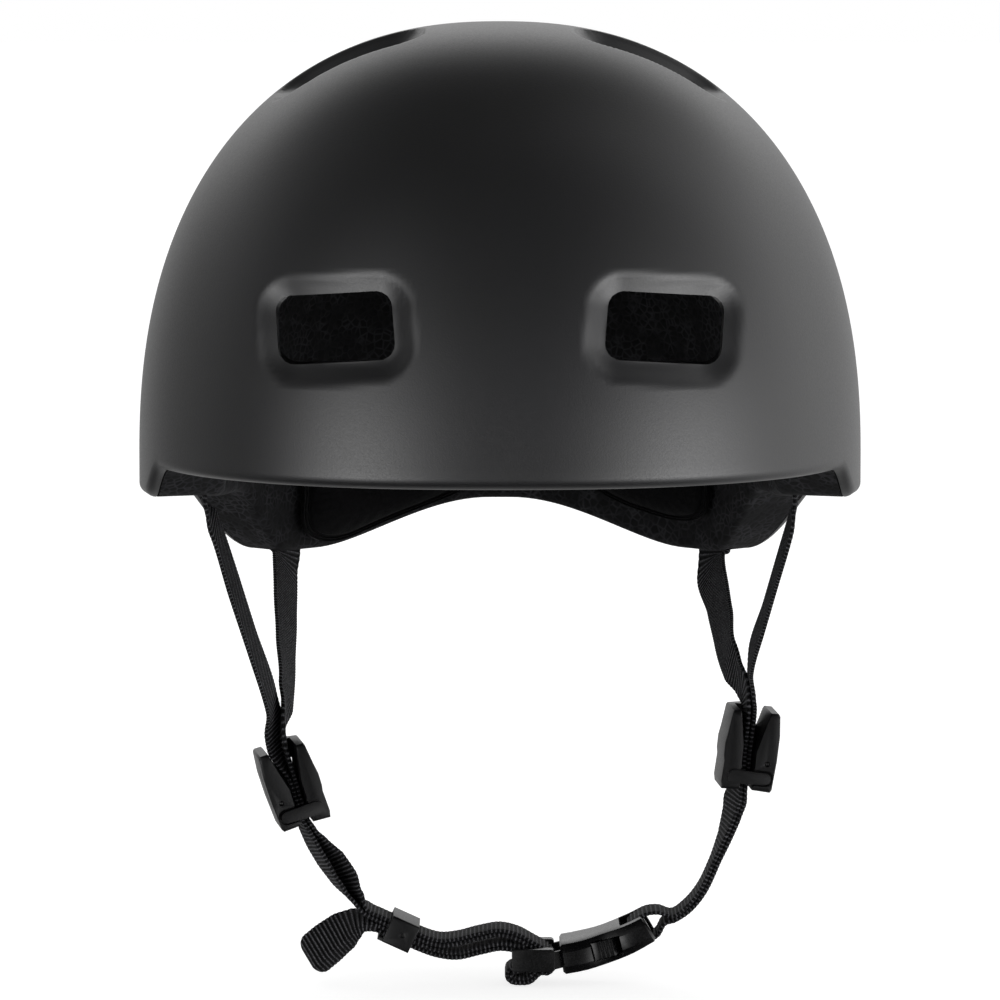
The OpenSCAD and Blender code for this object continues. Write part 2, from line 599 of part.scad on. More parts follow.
module divider_pin(side) {
  color("#8a8d90") at_divider(side) translate([0, pin_y, 0.2])
    cylinder(gate_h - 0.4, pin_d / 2, pin_d / 2, $fn = 16);
}
module left_divider_plate() { divider_plate(1); }
module left_divider_gate() { divider_gate(1); }
module left_divider_pin() { divider_pin(1); }
module right_divider_plate() { divider_plate(-1); }
module right_divider_gate() { divider_gate(-1); }
module right_divider_pin() { divider_pin(-1); }

// Buckle: x runs from the mouth into the socket, y across it and z up
module at_buckle() {
  translate(mouth) rotate([0, -slide_slope, 0]) children();
}
ring_l = 9.4;
window_l = 9.2;
cavity_l = ring_l + window_l + 1.6;
cavity_w = buckle_w - 4.8;
bar_x = socket_l - 3;

// A station of the curved socket at a length along its middle line
function station(l, wide, high) =
  let (a = mouth_slope + l / chin_r * 180 / PI,
    c = [mouth[0] - chin_r * sin(mouth_slope), mouth[2] + chin_r * cos(mouth_slope)])
  [for (i = [0:15]) let (t = 360 * i / 16, q = pow(pow(abs(cos(t)), 5) + pow(abs(sin(t)), 5), -0.2),
    y = wide / 2 * q * cos(t), z = high / 2 * q * sin(t))
    [c[0] + (chin_r - z) * sin(a), mouth[1] + y, c[1] - (chin_r - z) * cos(a)]];
function socket_width(l) = buckle_w - 3.4 * pow(max(0, 1 - pow((l - ring_l - window_l / 2) / 8, 2)), 2);
function socket_height(l) = socket_t * (1 - 0.1 * ramp(l, 14, socket_l));

module buckle_socket() {
  ends = 0.7;
  color(black) difference() {
    skin_between(concat([station(0, buckle_w - 1.6, socket_t - 1.6)],
      [for (l = [ends, 4, 7, 9.5, 12, 14, 16, 18.5, 21, 24, 27, socket_l - ends])
        station(l, socket_width(l), socket_height(l))],
      [station(socket_l, socket_width(socket_l) - 2, socket_height(socket_l) - 2)]));
    at_buckle() {
      translate([-5, -cavity_w / 2, -cavity_h / 2]) cube([5 + cavity_l, cavity_w, cavity_h]);
      for (y = [-1, 1]) translate([ring_l, y * buckle_w / 2 - buckle_w / 6, -cavity_h / 2])
        cube([window_l, buckle_w / 3, cavity_h]);
    }
    at_bar() difference() {
      translate([-4.1, -web_w / 2 - 0.5, -10]) cube([14, web_w + 1, 20]);
      hull() for (z = [-1, 1]) translate([0, 0, z * bar_d * 0.4]) rotate([90, 0, 0])
        cylinder(web_w + 4, bar_d * 0.5, bar_d * 0.5, center = true, $fn = 20);
    }
  }
}
module at_bar() {
  translate([left_bar[0], chin_y, left_bar[1]]) rotate([0, -bar_slope, 0]) children();
}

arm_y = 7;
arm_x = 4.2;
arm_r = 1.6;
arm_h = cavity_h - 0.8;
seat_r = arm_r + 0.06;

module buckle_plug() {
  plate_in = web_w / 2 + 0.5;
  high = [-157.5, -150.7];
  color(black) difference() {
    union() {
      for (y = [-1, 1]) {
        hull() for (x = [lever_bar[0] - 0.9, mouth[0] - 3.2], z = [high[0] + 1.1, high[1] - 1.1])
          translate([x, chin_y + y * (plate_in + buckle_w / 2) / 2, z]) rotate([90, 0, 0])
            cylinder(buckle_w / 2 - plate_in, 1.1, 1.1, center = true, $fn = 16);
        at_buckle() translate([-6, y > 0 ? plate_in : -cavity_w / 2 + buckle_gap, -arm_h / 2])
          cube([8, cavity_w / 2 - buckle_gap - plate_in, arm_h]);
      }
      for (b = [ladder_bar, lever_bar]) translate([b[0], chin_y, b[1]]) rotate([90, 0, 0])
        cylinder(buckle_w - 4, bar_d / 2, bar_d / 2, center = true, $fn = 20);
      at_buckle() {
        translate([0.9, -cavity_w / 2 + buckle_gap, -arm_h / 2])
          cube([4.2, cavity_w - 2 * buckle_gap, arm_h]);
        hull() for (x = [4, cavity_l - 2.4]) translate([x, 0, 0]) rotate([0, 90, 0])
          cylinder(1, 1.6, 1.6, $fn = 16);
      }
    }
    at_buckle() for (y = [-1, 1]) translate([arm_x, y * arm_y, -10]) cylinder(20, seat_r, seat_r, $fn = 32);
  }
}

module release_arm(side) {
  beam = [[arm_x, -1], [ring_l - 1, -0.7], [ring_l + 0.3, 0], [cavity_l - 2, -1.6], [cavity_l - 0.9, -1.2],
    [cavity_l - 0.7, 0.4], [ring_l + window_l - 1.2, 2.2], [ring_l + window_l - 2.6, 3.7],
    [ring_l + 2, 4], [ring_l + 0.25, 3.5], [ring_l + 0.25, 2.2], [ring_l - 1.2, 0.9], [arm_x, 1]];
  color(black) at_buckle() {
    translate([0, side * arm_y, 0]) scale([1, side, 1]) {
      difference() {
        union() {
          linear_extrude(arm_h, center = true) polygon(beam);
          translate([arm_x, 0, -arm_h / 2]) cylinder(arm_h, arm_r, arm_r, $fn = 32);
        }
        for (x = [3, 4.3, 5.6]) translate([ring_l + x, 4.15, 0]) cube([0.6, 0.9, arm_h + 1], center = true);
      }
    }
  }
}
module front_release_arm() { release_arm(-1); }
module rear_release_arm() { release_arm(1); }

outer_shell();
foam_liner();
brow_pad();
crown_pad();
left_side_pad();
right_side_pad();
left_rear_pad();
right_rear_pad();
pad_hook_discs();
strap_anchors();
left_front_strap();
left_rear_strap();
right_front_strap();
right_rear_strap();
left_divider_plate();
left_divider_gate();
left_divider_pin();
right_divider_plate();
right_divider_gate();
right_divider_pin();
left_chin_strap();
right_chin_strap_outer();
right_chin_strap_inner();
strap_tail_end();
buckle_socket();
buckle_plug();
front_release_arm();
rear_release_arm();
strap_keeper();
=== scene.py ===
import json
import math

import bmesh
import bpy
import numpy as np
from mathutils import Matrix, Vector

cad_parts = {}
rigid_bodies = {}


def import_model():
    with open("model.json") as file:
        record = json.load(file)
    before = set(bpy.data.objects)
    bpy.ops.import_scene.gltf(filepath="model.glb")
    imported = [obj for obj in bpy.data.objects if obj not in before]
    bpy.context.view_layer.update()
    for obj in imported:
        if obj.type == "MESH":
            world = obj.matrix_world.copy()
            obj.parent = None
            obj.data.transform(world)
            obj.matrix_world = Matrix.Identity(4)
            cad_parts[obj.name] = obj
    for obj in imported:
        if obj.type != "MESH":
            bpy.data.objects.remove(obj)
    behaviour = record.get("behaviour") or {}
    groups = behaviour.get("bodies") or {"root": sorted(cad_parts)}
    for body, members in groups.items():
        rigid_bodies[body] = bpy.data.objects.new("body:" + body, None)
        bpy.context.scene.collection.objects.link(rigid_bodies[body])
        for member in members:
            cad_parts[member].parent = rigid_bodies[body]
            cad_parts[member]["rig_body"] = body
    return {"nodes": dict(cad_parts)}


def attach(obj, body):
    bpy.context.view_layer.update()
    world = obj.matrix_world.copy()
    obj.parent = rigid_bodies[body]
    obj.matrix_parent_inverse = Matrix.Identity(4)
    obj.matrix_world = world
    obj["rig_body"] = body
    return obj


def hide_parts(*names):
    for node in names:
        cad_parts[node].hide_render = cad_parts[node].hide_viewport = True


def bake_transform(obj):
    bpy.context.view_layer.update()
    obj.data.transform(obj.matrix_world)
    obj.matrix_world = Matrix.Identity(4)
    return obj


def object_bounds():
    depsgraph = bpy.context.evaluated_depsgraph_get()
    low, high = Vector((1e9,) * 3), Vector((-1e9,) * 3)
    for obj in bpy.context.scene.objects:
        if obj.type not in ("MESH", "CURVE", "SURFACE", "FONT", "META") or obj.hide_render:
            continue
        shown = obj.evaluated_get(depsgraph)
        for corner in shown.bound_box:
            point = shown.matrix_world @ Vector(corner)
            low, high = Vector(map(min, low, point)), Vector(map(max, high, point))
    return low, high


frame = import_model()
cad_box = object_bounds()
MM = 0.001

# The camera stands in front of the brow, a little above it; metres, then lens and sensor in mm
LOOK_AT = Vector((0, 0, -0.014))
CAMERA_DISTANCE = 1.75
CAMERA_ELEVATION = math.radians(5)
CAMERA_LENS = 211.0
CAMERA_SENSOR = 36

# Studio: levels of the room in reflections, then its soft patches of light, each with the
# azimuth from the camera towards the right, the elevation, both spreads and the brightness
WORLD_LIGHT = 0.52
ROOM_LEVEL = 0.06
BACK_LEVEL = 0.6
PATCHES = [(-41, -14, 19, 19, 7.2), (-41, 14, 24, 34, 1.15), (58, -14, 26, 19, 7.9),
           (60, 14, 30, 36, 0.9), (115, 10, 28, 60, 1.4), (-115, 10, 24, 50, 0.4)]
BACK_PATCH = (180, 26, 40, 10, 1.4)
# The white sweep starts behind the object between these azimuths and ends at these heights
SWEEP_AZIMUTHS = (math.radians(125), math.radians(165))
SWEEP_TOP = (math.radians(18), math.radians(38))
# Lamps: azimuth, elevation, distance and size in metres, radiance
LAMPS = {
    "softbox_left": (-30, 2, 1.7, (0.45, 0.9), 1.3),
    "softbox_right": (46, 4, 1.7, (0.3, 0.8), 3.8),
    "softbox_top": (180, 62, 1.6, (1.4, 0.8), 1.6),
}
FLOOR_HALF = 30.0
FLOOR_DROP = 0.5 * MM
FLOOR_PAINT = "#c8c8c8"
FLOOR_GLOW = 0.8

# Patterns, in millimetres between their repeats. The spark-eroded grains and the brushed pile
# are really about 0.15 mm, and are drawn as coarse as they need to be to show in the render
ABS_GRAIN = 0.55
ABS_FLOW = 45.0
EPS_BEAD = 2.3
EPS_PATCH = 7.0
TRICOT_PILE = 0.7
TRICOT_WEAR = 18.0
WEB_YARN = 0.4
ACETAL_GRAIN = 0.8
ACETAL_ETCH = 0.5
ACETAL_FLOW = 9.0
HOOK_PITCH = 0.9
STEEL_MARK = 0.5

# Shell, in millimetres
SHELL_W = 214.0
FRONT_LEN = 132.0
REAR_LEN = 132.0
CROWN_H = 128.5
DOME_N = 2.3  # squareness of the dome, 2 for an ellipse
BULGE_H = 25.0
NAPE_TUCK = 8.0
# Steps of the lower edge: rise, and the angles from the brow between which it comes
EDGE_STEPS = ((-9.5, 58, 68), (-5.5, 68, 112), (-21.5, 119, 138), (14.0, 146, 178))
SHELL_T = 2.4
RIM_ROLL = 3.5
SEAT_GAP = 0.3
LINER_SIDE = 21.3
LINER_FRONT = 19.5
LINER_REAR = 24.5
LINER_CROWN = 24.5
LINER_EDGE = 3.0

# Vents: a recess is pressed round each hole; width, height and corner radius
RECESS = (44.0, 30.0, 10.0)
RECESS_D = 3.6
RECESS_HOLLOW = 0.85
RECESS_LIP = (-0.2, 1.4)
LEDGE_W = 5.5
HOLE = (RECESS[0] - 2 * LEDGE_W, RECESS[1] - 2 * LEDGE_W, RECESS[2] - LEDGE_W)
VENT_TILT = math.radians(4.5)
FRONT_VENT = (46.0, 44.0)
REAR_VENT = (42.0, 62.0)
TOP_VENT_X = 44.0
TOP_VENTS_Y = (-24.0, 33.0)
# How far out the dome belongs to the front or rear vents and how high up to the top ones
END_VENT_Y = 55.0
TOP_VENT_Z = 65.0
FAR_OFF = 99.0

# Pads and webbing
PAD_T = 7.0
PAD_EDGE_T = 1.6
PAD_STAND = 2.4
WEB_W = 15.0
WEB_T = 1.3
LAYER = 1.45
HALF_LAYER = LAYER / 2
RIB_PITCH = 1.3  # heavy weft ribs, as many as the photograph shows
RIB_DEPTH = 0.34

# Dividers and buckle
GATE_H = 24.0
CHIN_Y = 18.0
LEFT = {"side": 1, "exit": (73.0, CHIN_Y, -102.3), "lean": 6.0, "turn": 4.0}
RIGHT = {"side": -1, "exit": (-59.6, CHIN_Y, -112.6), "lean": 17.0, "turn": -8.0}
# A slot: angle from the brow, depth in the liner's wall, height and turn of the width
FRONT_SLOT = (76.0, 5.0, -14.5, -5.0)
REAR_SLOT = (140.0, 6.5, -36.5, 36.0)
# Turn of the webbing's width below a slot, at thirds of the way down and into the divider
FRONT_TURNS = {1: (3.0, 3.0, 3.0, 3.0, 4.0, 4.0), -1: (9.0, 11.0, 10.0, 11.0, 20.0, 20.0)}
REAR_TURNS = {1: (32.0, 29.0, 26.0, 23.0, 20.0, 12.0), -1: (25.0, 22.0, 17.0, 12.0, 4.0, -6.0)}
# Where a strap leaves its slot, from the slot: outwards, back and up
FRONT_AWAY = {1: (-1.2, 1.6, -5), -1: (-2.6, 1.6, -5)}
REAR_AWAY = {1: (-1.4, -2.4, -4.2), -1: (-0.2, -2.4, -4.2)}
# Where the straps come to their dividers, in the divider's frame from its layer and its top
FRONT_BEND = {1: ((-2.2, -3.4, 14), (-0.8, -0.9, 5), (0.2, 0, 0)),
              -1: ((-1.8, -3.4, 14), (-0.4, -0.9, 5), (0.2, 0, 0))}
REAR_BEND = {1: ((-5.5, 10.5, 12.6), (-2.6, 4.8, 7.6), (-1.1, 1.6, 4.6), (-0.25, 0, 0)),
             -1: ((-6.2, 10.5, 12.6), (-3.2, 4.8, 7.6), (-1.4, 1.6, 4.6), (-0.3, 0, 0))}
ANCHOR_RISE = 27.0
ANCHOR_D = 3.0
ANCHOR_PLAY = 0.15
BAR_D = 3.0
BAR_PLAY = 0.1
SOCKET_BAR_H = BAR_D * 0.9 + 0.3
LEFT_BAR = (42.0, -146.1)
BAR_SLOPE = math.radians(29)
LADDER_BAR = (13.0, -155.4)
LEVER_BAR = (5.6, -154.2)
WRAP_R = BAR_D / 2 + BAR_PLAY + WEB_T / 2 + HALF_LAYER


def add(tree, kind, settings=None, **inputs):
    """A node with its settings; an input named _0 goes by its number, any other by its name."""
    node = tree.nodes.new(kind)
    for name, value in (settings or {}).items():
        setattr(node, name, value)
    for name, value in inputs.items():
        number = name[1:].isdigit()
        socket = node.inputs[int(name[1:]) if number else name.replace("_", " ")]
        if isinstance(value, bpy.types.NodeSocket):
            tree.links.new(value, socket)
        else:
            socket.default_value = value
    return node


def linear(hex_colour):
    """An sRGB hex colour as linear red, green, blue and alpha."""
    parts = [int(hex_colour[i:i + 2], 16) / 255 for i in (1, 3, 5)]
    return (*[c / 12.92 if c <= 0.04045 else ((c + 0.055) / 1.055) ** 2.4 for c in parts], 1)


def place_camera():
    """A long lens at the photograph's viewing angle."""
    data = bpy.data.cameras.new("product_camera")
    data.lens = CAMERA_LENS
    data.sensor_width = CAMERA_SENSOR
    camera = bpy.data.objects.new("product_camera", data)
    bpy.context.collection.objects.link(camera)
    back = Vector((0, -math.cos(CAMERA_ELEVATION), math.sin(CAMERA_ELEVATION)))
    camera.location = LOOK_AT + back * CAMERA_DISTANCE
    camera.rotation_euler = (-back).to_track_quat("-Z", "Y").to_euler()
    bpy.context.scene.camera = camera
    bpy.context.scene.view_settings.view_transform = "Standard"


def seen_directly(tree):
    """One for camera, glossy and transmission rays, nought for the light on the object."""
    path = add(tree, "ShaderNodeLightPath")
    gloss = add(tree, "ShaderNodeMath", {"operation": "MAXIMUM"},
                _0=path.outputs["Is Glossy Ray"], _1=path.outputs["Is Transmission Ray"])
    return add(tree, "ShaderNodeMath", {"operation": "MAXIMUM"},
               _0=path.outputs["Is Camera Ray"], _1=gloss.outputs[0]).outputs[0]


def soft_patch(tree, azimuth, elevation, patch):
    """A patch of light that fades like a bell curve both ways."""
    squares = []
    for angle, middle, spread in zip((azimuth, elevation), patch[:2], patch[2:4]):
        off = add(tree, "ShaderNodeMath", {"operation": "SUBTRACT"}, _0=angle,
                  _1=math.radians(middle))
        part = add(tree, "ShaderNodeMath", {"operation": "DIVIDE"}, _0=off.outputs[0],
                   _1=math.radians(spread)).outputs[0]
        squares.append(add(tree, "ShaderNodeMath", {"operation": "MULTIPLY"}, _0=part,
                           _1=part).outputs[0])
    depth = add(tree, "ShaderNodeMath", {"operation": "ADD"}, _0=squares[0], _1=squares[1])
    fall = add(tree, "ShaderNodeMath", {"operation": "POWER"}, _0=math.exp(-1),
               _1=depth.outputs[0])
    return add(tree, "ShaderNodeMath", {"operation": "MULTIPLY"}, _0=fall.outputs[0],
               _1=patch[4]).outputs[0]


def light_world():
    """A white sweep behind the object; the room in front is dim but for its soft boxes."""
    world = bpy.data.worlds.new("white_sweep")
    world.use_nodes = True
    tree = world.node_tree
    tree.nodes.clear()
    path = add(tree, "ShaderNodeLightPath")
    place = add(tree, "ShaderNodeTexCoord")
    axes = add(tree, "ShaderNodeSeparateXYZ", Vector=place.outputs["Generated"])
    front = add(tree, "ShaderNodeMath", {"operation": "MULTIPLY"}, _0=axes.outputs["Y"], _1=-1.0)
    azimuth = add(tree, "ShaderNodeMath", {"operation": "ARCTAN2"}, _0=axes.outputs["X"],
                  _1=front.outputs[0]).outputs[0]
    turned = add(tree, "ShaderNodeMath", {"operation": "ABSOLUTE"}, _0=azimuth).outputs[0]
    elevation = add(tree, "ShaderNodeMath", {"operation": "ARCSINE"},
                    _0=axes.outputs["Z"]).outputs[0]
    behind = add(tree, "ShaderNodeMapRange", {"interpolation_type": "SMOOTHSTEP"}, Value=turned,
                 From_Min=SWEEP_AZIMUTHS[0], From_Max=SWEEP_AZIMUTHS[1])
    sweep = add(tree, "ShaderNodeMapRange", {"interpolation_type": "SMOOTHSTEP"},
                Value=elevation, From_Min=SWEEP_TOP[0], From_Max=SWEEP_TOP[1],
                To_Min=BACK_LEVEL, To_Max=0.0)
    room = add(tree, "ShaderNodeMath", {"operation": "MULTIPLY_ADD"}, _0=behind.outputs[0],
               _1=sweep.outputs[0], _2=ROOM_LEVEL).outputs[0]
    patches = [soft_patch(tree, azimuth, elevation, patch) for patch in PATCHES]
    for light in patches + [soft_patch(tree, turned, elevation, BACK_PATCH)]:
        room = add(tree, "ShaderNodeMath", {"operation": "ADD"}, _0=room, _1=light).outputs[0]
    see = add(tree, "ShaderNodeMix", _0=path.outputs["Is Camera Ray"], _2=room, _3=1.0)
    level = add(tree, "ShaderNodeMix", _0=seen_directly(tree), _2=WORLD_LIGHT, _3=see.outputs[0])
    sky = add(tree, "ShaderNodeBackground", Color=linear("#ffffff"), Strength=level.outputs[0])
    add(tree, "ShaderNodeOutputWorld", Surface=sky.outputs[0])
    bpy.context.scene.world = world


def light_softbox(name, azimuth, elevation, distance, size, radiance):
    """A soft box aimed at the object, its azimuth counted from the camera towards the right."""
    data = bpy.data.lights.new(name, "AREA")
    data.shape = "RECTANGLE"
    data.size, data.size_y = size
    data.energy = math.pi * size[0] * size[1] * radiance
    lamp = bpy.data.objects.new(name, data)
    bpy.context.collection.objects.link(lamp)
    a, e = math.radians(azimuth), math.radians(elevation)
    away = Vector((math.sin(a) * math.cos(e), -math.cos(a) * math.cos(e), math.sin(e)))
    lamp.location = LOOK_AT + away * distance
    lamp.rotation_euler = away.to_track_quat("Z", "Y").to_euler()
    lamp.visible_camera = False
    lamp.visible_glossy = False


def lay_floor():
    """A pale floor that shows white to the camera, keeps the shadow and isn't reflected."""
    z = cad_box[0].z - FLOOR_DROP
    mesh = bpy.data.meshes.new("pale_floor")
    corners = [(x * FLOOR_HALF, y * FLOOR_HALF, z)
               for x, y in ((-1, -1), (1, -1), (1, 1), (-1, 1))]
    mesh.from_pydata(corners, [], [(0, 1, 2, 3)])
    floor = bpy.data.objects.new("pale_floor", mesh)
    bpy.context.collection.objects.link(floor)
    material = bpy.data.materials.new("pale_floor_paint")
    material.use_nodes = True
    tree = material.node_tree
    tree.nodes.clear()
    paint = add(tree, "ShaderNodeBsdfDiffuse", Color=linear(FLOOR_PAINT))
    glow = add(tree, "ShaderNodeEmission", Color=linear("#ffffff"), Strength=FLOOR_GLOW)
    bright = add(tree, "ShaderNodeAddShader", _0=paint.outputs[0], _1=glow.outputs[0])
    shown = add(tree, "ShaderNodeMixShader", _0=seen_directly(tree), _1=paint.outputs[0],
                _2=bright.outputs[0])
    clear = add(tree, "ShaderNodeBsdfTransparent")
    path = add(tree, "ShaderNodeLightPath")
    open_below = add(tree, "ShaderNodeMixShader", _0=path.outputs["Is Glossy Ray"],
                     _1=shown.outputs[0], _2=clear.outputs[0])
    add(tree, "ShaderNodeOutputMaterial", Surface=open_below.outputs[0])
    mesh.materials.append(material)


# Materials
def new_material(name):
    """An empty material with the node that its patterns take their places from."""
    material = bpy.data.materials.new(name)
    material.use_nodes = True
    tree = material.node_tree
    tree.nodes.clear()
    place = add(tree, "ShaderNodeTexCoord")
    return material, tree, place


def between(tree, factor, low, high, dark, light):
    """A value or a colour that goes from dark to light as the factor goes from low to high."""
    share = add(tree, "ShaderNodeMapRange", Value=factor, From_Min=low, From_Max=high).outputs[0]
    if isinstance(dark, str):
        return add(tree, "ShaderNodeMix", {"data_type": "RGBA"}, _0=share, _6=linear(dark),
                   _7=linear(light)).outputs[2]
    return add(tree, "ShaderNodeMix", _0=share, _2=dark, _3=light).outputs[0]


def abs_spark_eroded():
    """ABS moulded against spark-eroded steel: an even matte black with a fine dry grain."""
    material, tree, place = new_material("abs_spark_eroded_black")
    at = place.outputs["Object"]
    grain = add(tree, "ShaderNodeTexNoise", Vector=at, Scale=1 / (ABS_GRAIN * MM),
                Detail=3.0).outputs["Fac"]
    flow = add(tree, "ShaderNodeTexNoise", Vector=at, Scale=1 / (ABS_FLOW * MM),
                Detail=2.0).outputs["Fac"]
    bump = add(tree, "ShaderNodeBump", Strength=0.35, Distance=0.08 * MM, Height=grain)
    shader = add(tree, "ShaderNodeBsdfPrincipled",
                 Base_Color=between(tree, flow, 0.3, 0.7, "#161617", "#19191b"),
                 Roughness=between(tree, grain, 0.3, 0.7, 0.36, 0.44), Specular_IOR_Level=0.5,
                 Normal=bump.outputs[0])
    add(tree, "ShaderNodeOutputMaterial", Surface=shader.outputs[0])
    return material


def eps_bead_foam():
    """Expanded polystyrene steam-moulded from grey beads: dull, with paler seams between them."""
    material, tree, place = new_material("eps_moulded_bead_foam")
    at = place.outputs["Object"]
    seams = add(tree, "ShaderNodeTexVoronoi", {"feature": "DISTANCE_TO_EDGE"}, Vector=at,
                Scale=1 / (EPS_BEAD * MM)).outputs["Distance"]
    beads = add(tree, "ShaderNodeTexVoronoi", {"feature": "F1"}, Vector=at,
                Scale=1 / (EPS_BEAD * MM))
    patch = add(tree, "ShaderNodeTexNoise", Vector=at, Scale=1 / (EPS_PATCH * MM),
                Detail=3.0).outputs["Fac"]
    tint = between(tree, beads.outputs["Color"], 0.2, 0.8, "#0c0c0d", "#19191a")
    shown = between(tree, patch, 0.42, 0.62, 0.15, 0.9)
    line = between(tree, seams, 0.0, 0.18, 1.0, 0.0)
    ridge = add(tree, "ShaderNodeMath", {"operation": "MULTIPLY"}, _0=line,
                _1=shown).outputs[0]
    colour = add(tree, "ShaderNodeMix", {"data_type": "RGBA"}, _0=ridge, _6=tint,
                 _7=linear("#3c3c3f")).outputs[2]
    bump = add(tree, "ShaderNodeBump", {"invert": True}, Strength=0.6, Distance=0.3 * MM,
               Height=beads.outputs["Distance"])
    shader = add(tree, "ShaderNodeBsdfPrincipled", Base_Color=colour, Roughness=0.85,
                 Specular_IOR_Level=0.12, Normal=bump.outputs[0])
    add(tree, "ShaderNodeOutputMaterial", Surface=shader.outputs[0])
    return material


def brushed_tricot():
    """Warp-knitted nylon, brushed and laminated to foam: soft black with a faint pile sheen."""
    material, tree, place = new_material("tricot_brushed_black")
    at = place.outputs["Object"]
    pile = add(tree, "ShaderNodeTexNoise", Vector=at, Scale=1 / (TRICOT_PILE * MM),
                Detail=4.0).outputs["Fac"]
    wear = add(tree, "ShaderNodeTexNoise", Vector=at, Scale=1 / (TRICOT_WEAR * MM),
                Detail=2.0).outputs["Fac"]
    bump = add(tree, "ShaderNodeBump", Strength=0.5, Distance=0.2 * MM, Height=pile)
    shader = add(tree, "ShaderNodeBsdfPrincipled",
                 Base_Color=between(tree, wear, 0.3, 0.7, "#060607", "#0a0a0b"),
                 Roughness=between(tree, pile, 0.3, 0.7, 0.75, 0.95), Specular_IOR_Level=0.06,
                 Sheen_Weight=0.02, Sheen_Roughness=0.4, Normal=bump.outputs[0])
    add(tree, "ShaderNodeOutputMaterial", Surface=shader.outputs[0])
    return material


def webbing_weave():
    """Polyester webbing woven with heavy weft ribs: dull black, with a painted highlight on the
    rib crests.
    """
    material, tree, place = new_material("polyester_woven_webbing")
    axes = add(tree, "ShaderNodeSeparateXYZ", Vector=place.outputs["UV"])
    turns = add(tree, "ShaderNodeMath", {"operation": "MULTIPLY"}, _0=axes.outputs["X"],
                _1=math.pi / RIB_PITCH)
    wave = add(tree, "ShaderNodeMath", {"operation": "SINE"}, _0=turns.outputs[0])
    crest = add(tree, "ShaderNodeMath", {"operation": "ABSOLUTE"}, _0=wave.outputs[0])
    yarn = add(tree, "ShaderNodeTexNoise", Vector=place.outputs["Object"],
               Scale=1 / (WEB_YARN * MM), Detail=3.0).outputs["Fac"]
    # Painted highlight: the base colour is paler on the rib crests, broken up by the yarn noise
    crest_sheen_mask = add(tree, "ShaderNodeMath", {"operation": "POWER"}, _0=crest.outputs[0], _1=6.0)
    painted_crest_sheen = add(tree, "ShaderNodeMath", {"operation": "MULTIPLY"}, _0=crest_sheen_mask.outputs[0],
               _1=between(tree, yarn, 0.36, 0.62, 0.15, 1.0))
    bump = add(tree, "ShaderNodeBump", Strength=0.8, Distance=0.2 * MM, Height=yarn)
    shader = add(tree, "ShaderNodeBsdfPrincipled",
                 Base_Color=between(tree, painted_crest_sheen.outputs[0], 0.05, 0.9, "#040405", "#757579"),
                 Roughness=0.7, Specular_IOR_Level=0.08, Sheen_Weight=0.02,
                 Sheen_Roughness=0.5, Normal=bump.outputs[0])
    add(tree, "ShaderNodeOutputMaterial", Surface=shader.outputs[0])
    return material


def acetal_moulded(name, grain_mm, rough, bump_mm):
    """Acetal injection-moulded in steel: dense black, waxy where polished, dull where etched."""
    material, tree, place = new_material(name)
    at = place.outputs["Object"]
    grain = add(tree, "ShaderNodeTexNoise", Vector=at, Scale=1 / (grain_mm * MM),
                Detail=3.0).outputs["Fac"]
    flow = add(tree, "ShaderNodeTexNoise", Vector=at, Scale=1 / (ACETAL_FLOW * MM),
                Detail=2.0).outputs["Fac"]
    bump = add(tree, "ShaderNodeBump", Strength=0.5, Distance=bump_mm * MM, Height=grain)
    shader = add(tree, "ShaderNodeBsdfPrincipled",
                 Base_Color=between(tree, flow, 0.3, 0.7, "#0a0a0b", "#0e0e0f"),
                 Roughness=between(tree, grain, 0.3, 0.7, rough - 0.05, rough + 0.05),
                 Specular_IOR_Level=0.2, Normal=bump.outputs[0])
    add(tree, "ShaderNodeOutputMaterial", Surface=shader.outputs[0])
    return material


def nylon_hook():
    """Moulded nylon hook tape: dull black, rough with fine hooks."""
    material, tree, place = new_material("nylon_moulded_hook")
    at = place.outputs["Object"]
    hooks = add(tree, "ShaderNodeTexVoronoi", {"feature": "F1"}, Vector=at,
                Scale=1 / (HOOK_PITCH * MM)).outputs["Distance"]
    bump = add(tree, "ShaderNodeBump", Strength=0.8, Distance=0.3 * MM, Height=hooks)
    shader = add(tree, "ShaderNodeBsdfPrincipled",
                 Base_Color=between(tree, hooks, 0.1, 0.6, "#1e1e20", "#0f0f10"),
                 Roughness=0.6, Specular_IOR_Level=0.4, Normal=bump.outputs[0])
    add(tree, "ShaderNodeOutputMaterial", Surface=shader.outputs[0])
    return material


def steel_drawn():
    """Drawn stainless steel wire: bright grey with fine marks along its length."""
    material, tree, place = new_material("steel_drawn_pin")
    marks = add(tree, "ShaderNodeTexNoise", Vector=place.outputs["Object"],
                Scale=1 / (STEEL_MARK * MM), Detail=4.0).outputs["Fac"]
    bump = add(tree, "ShaderNodeBump", Strength=0.2, Distance=0.03 * MM, Height=marks)
    shader = add(tree, "ShaderNodeBsdfPrincipled",
                 Base_Color=between(tree, marks, 0.3, 0.7, "#8a8c90", "#a4a6aa"), Metallic=1.0,
                 Roughness=between(tree, marks, 0.3, 0.7, 0.25, 0.38), Normal=bump.outputs[0])
    add(tree, "ShaderNodeOutputMaterial", Surface=shader.outputs[0])
    return material


place_camera()
light_world()
lay_floor()
for lamp_name, lamp_form in LAMPS.items():
    light_softbox(lamp_name, *lamp_form)

ABS = abs_spark_eroded()
EPS = eps_bead_foam()
TRICOT = brushed_tricot()
WEAVE = webbing_weave()
ACETAL = acetal_moulded("acetal_moulded_black", ACETAL_GRAIN, 0.26, 0.03)
ACETAL_ETCHED = acetal_moulded("acetal_spark_eroded_black", ACETAL_ETCH, 0.38, 0.09)
HOOK = nylon_hook()
STEEL = steel_drawn()


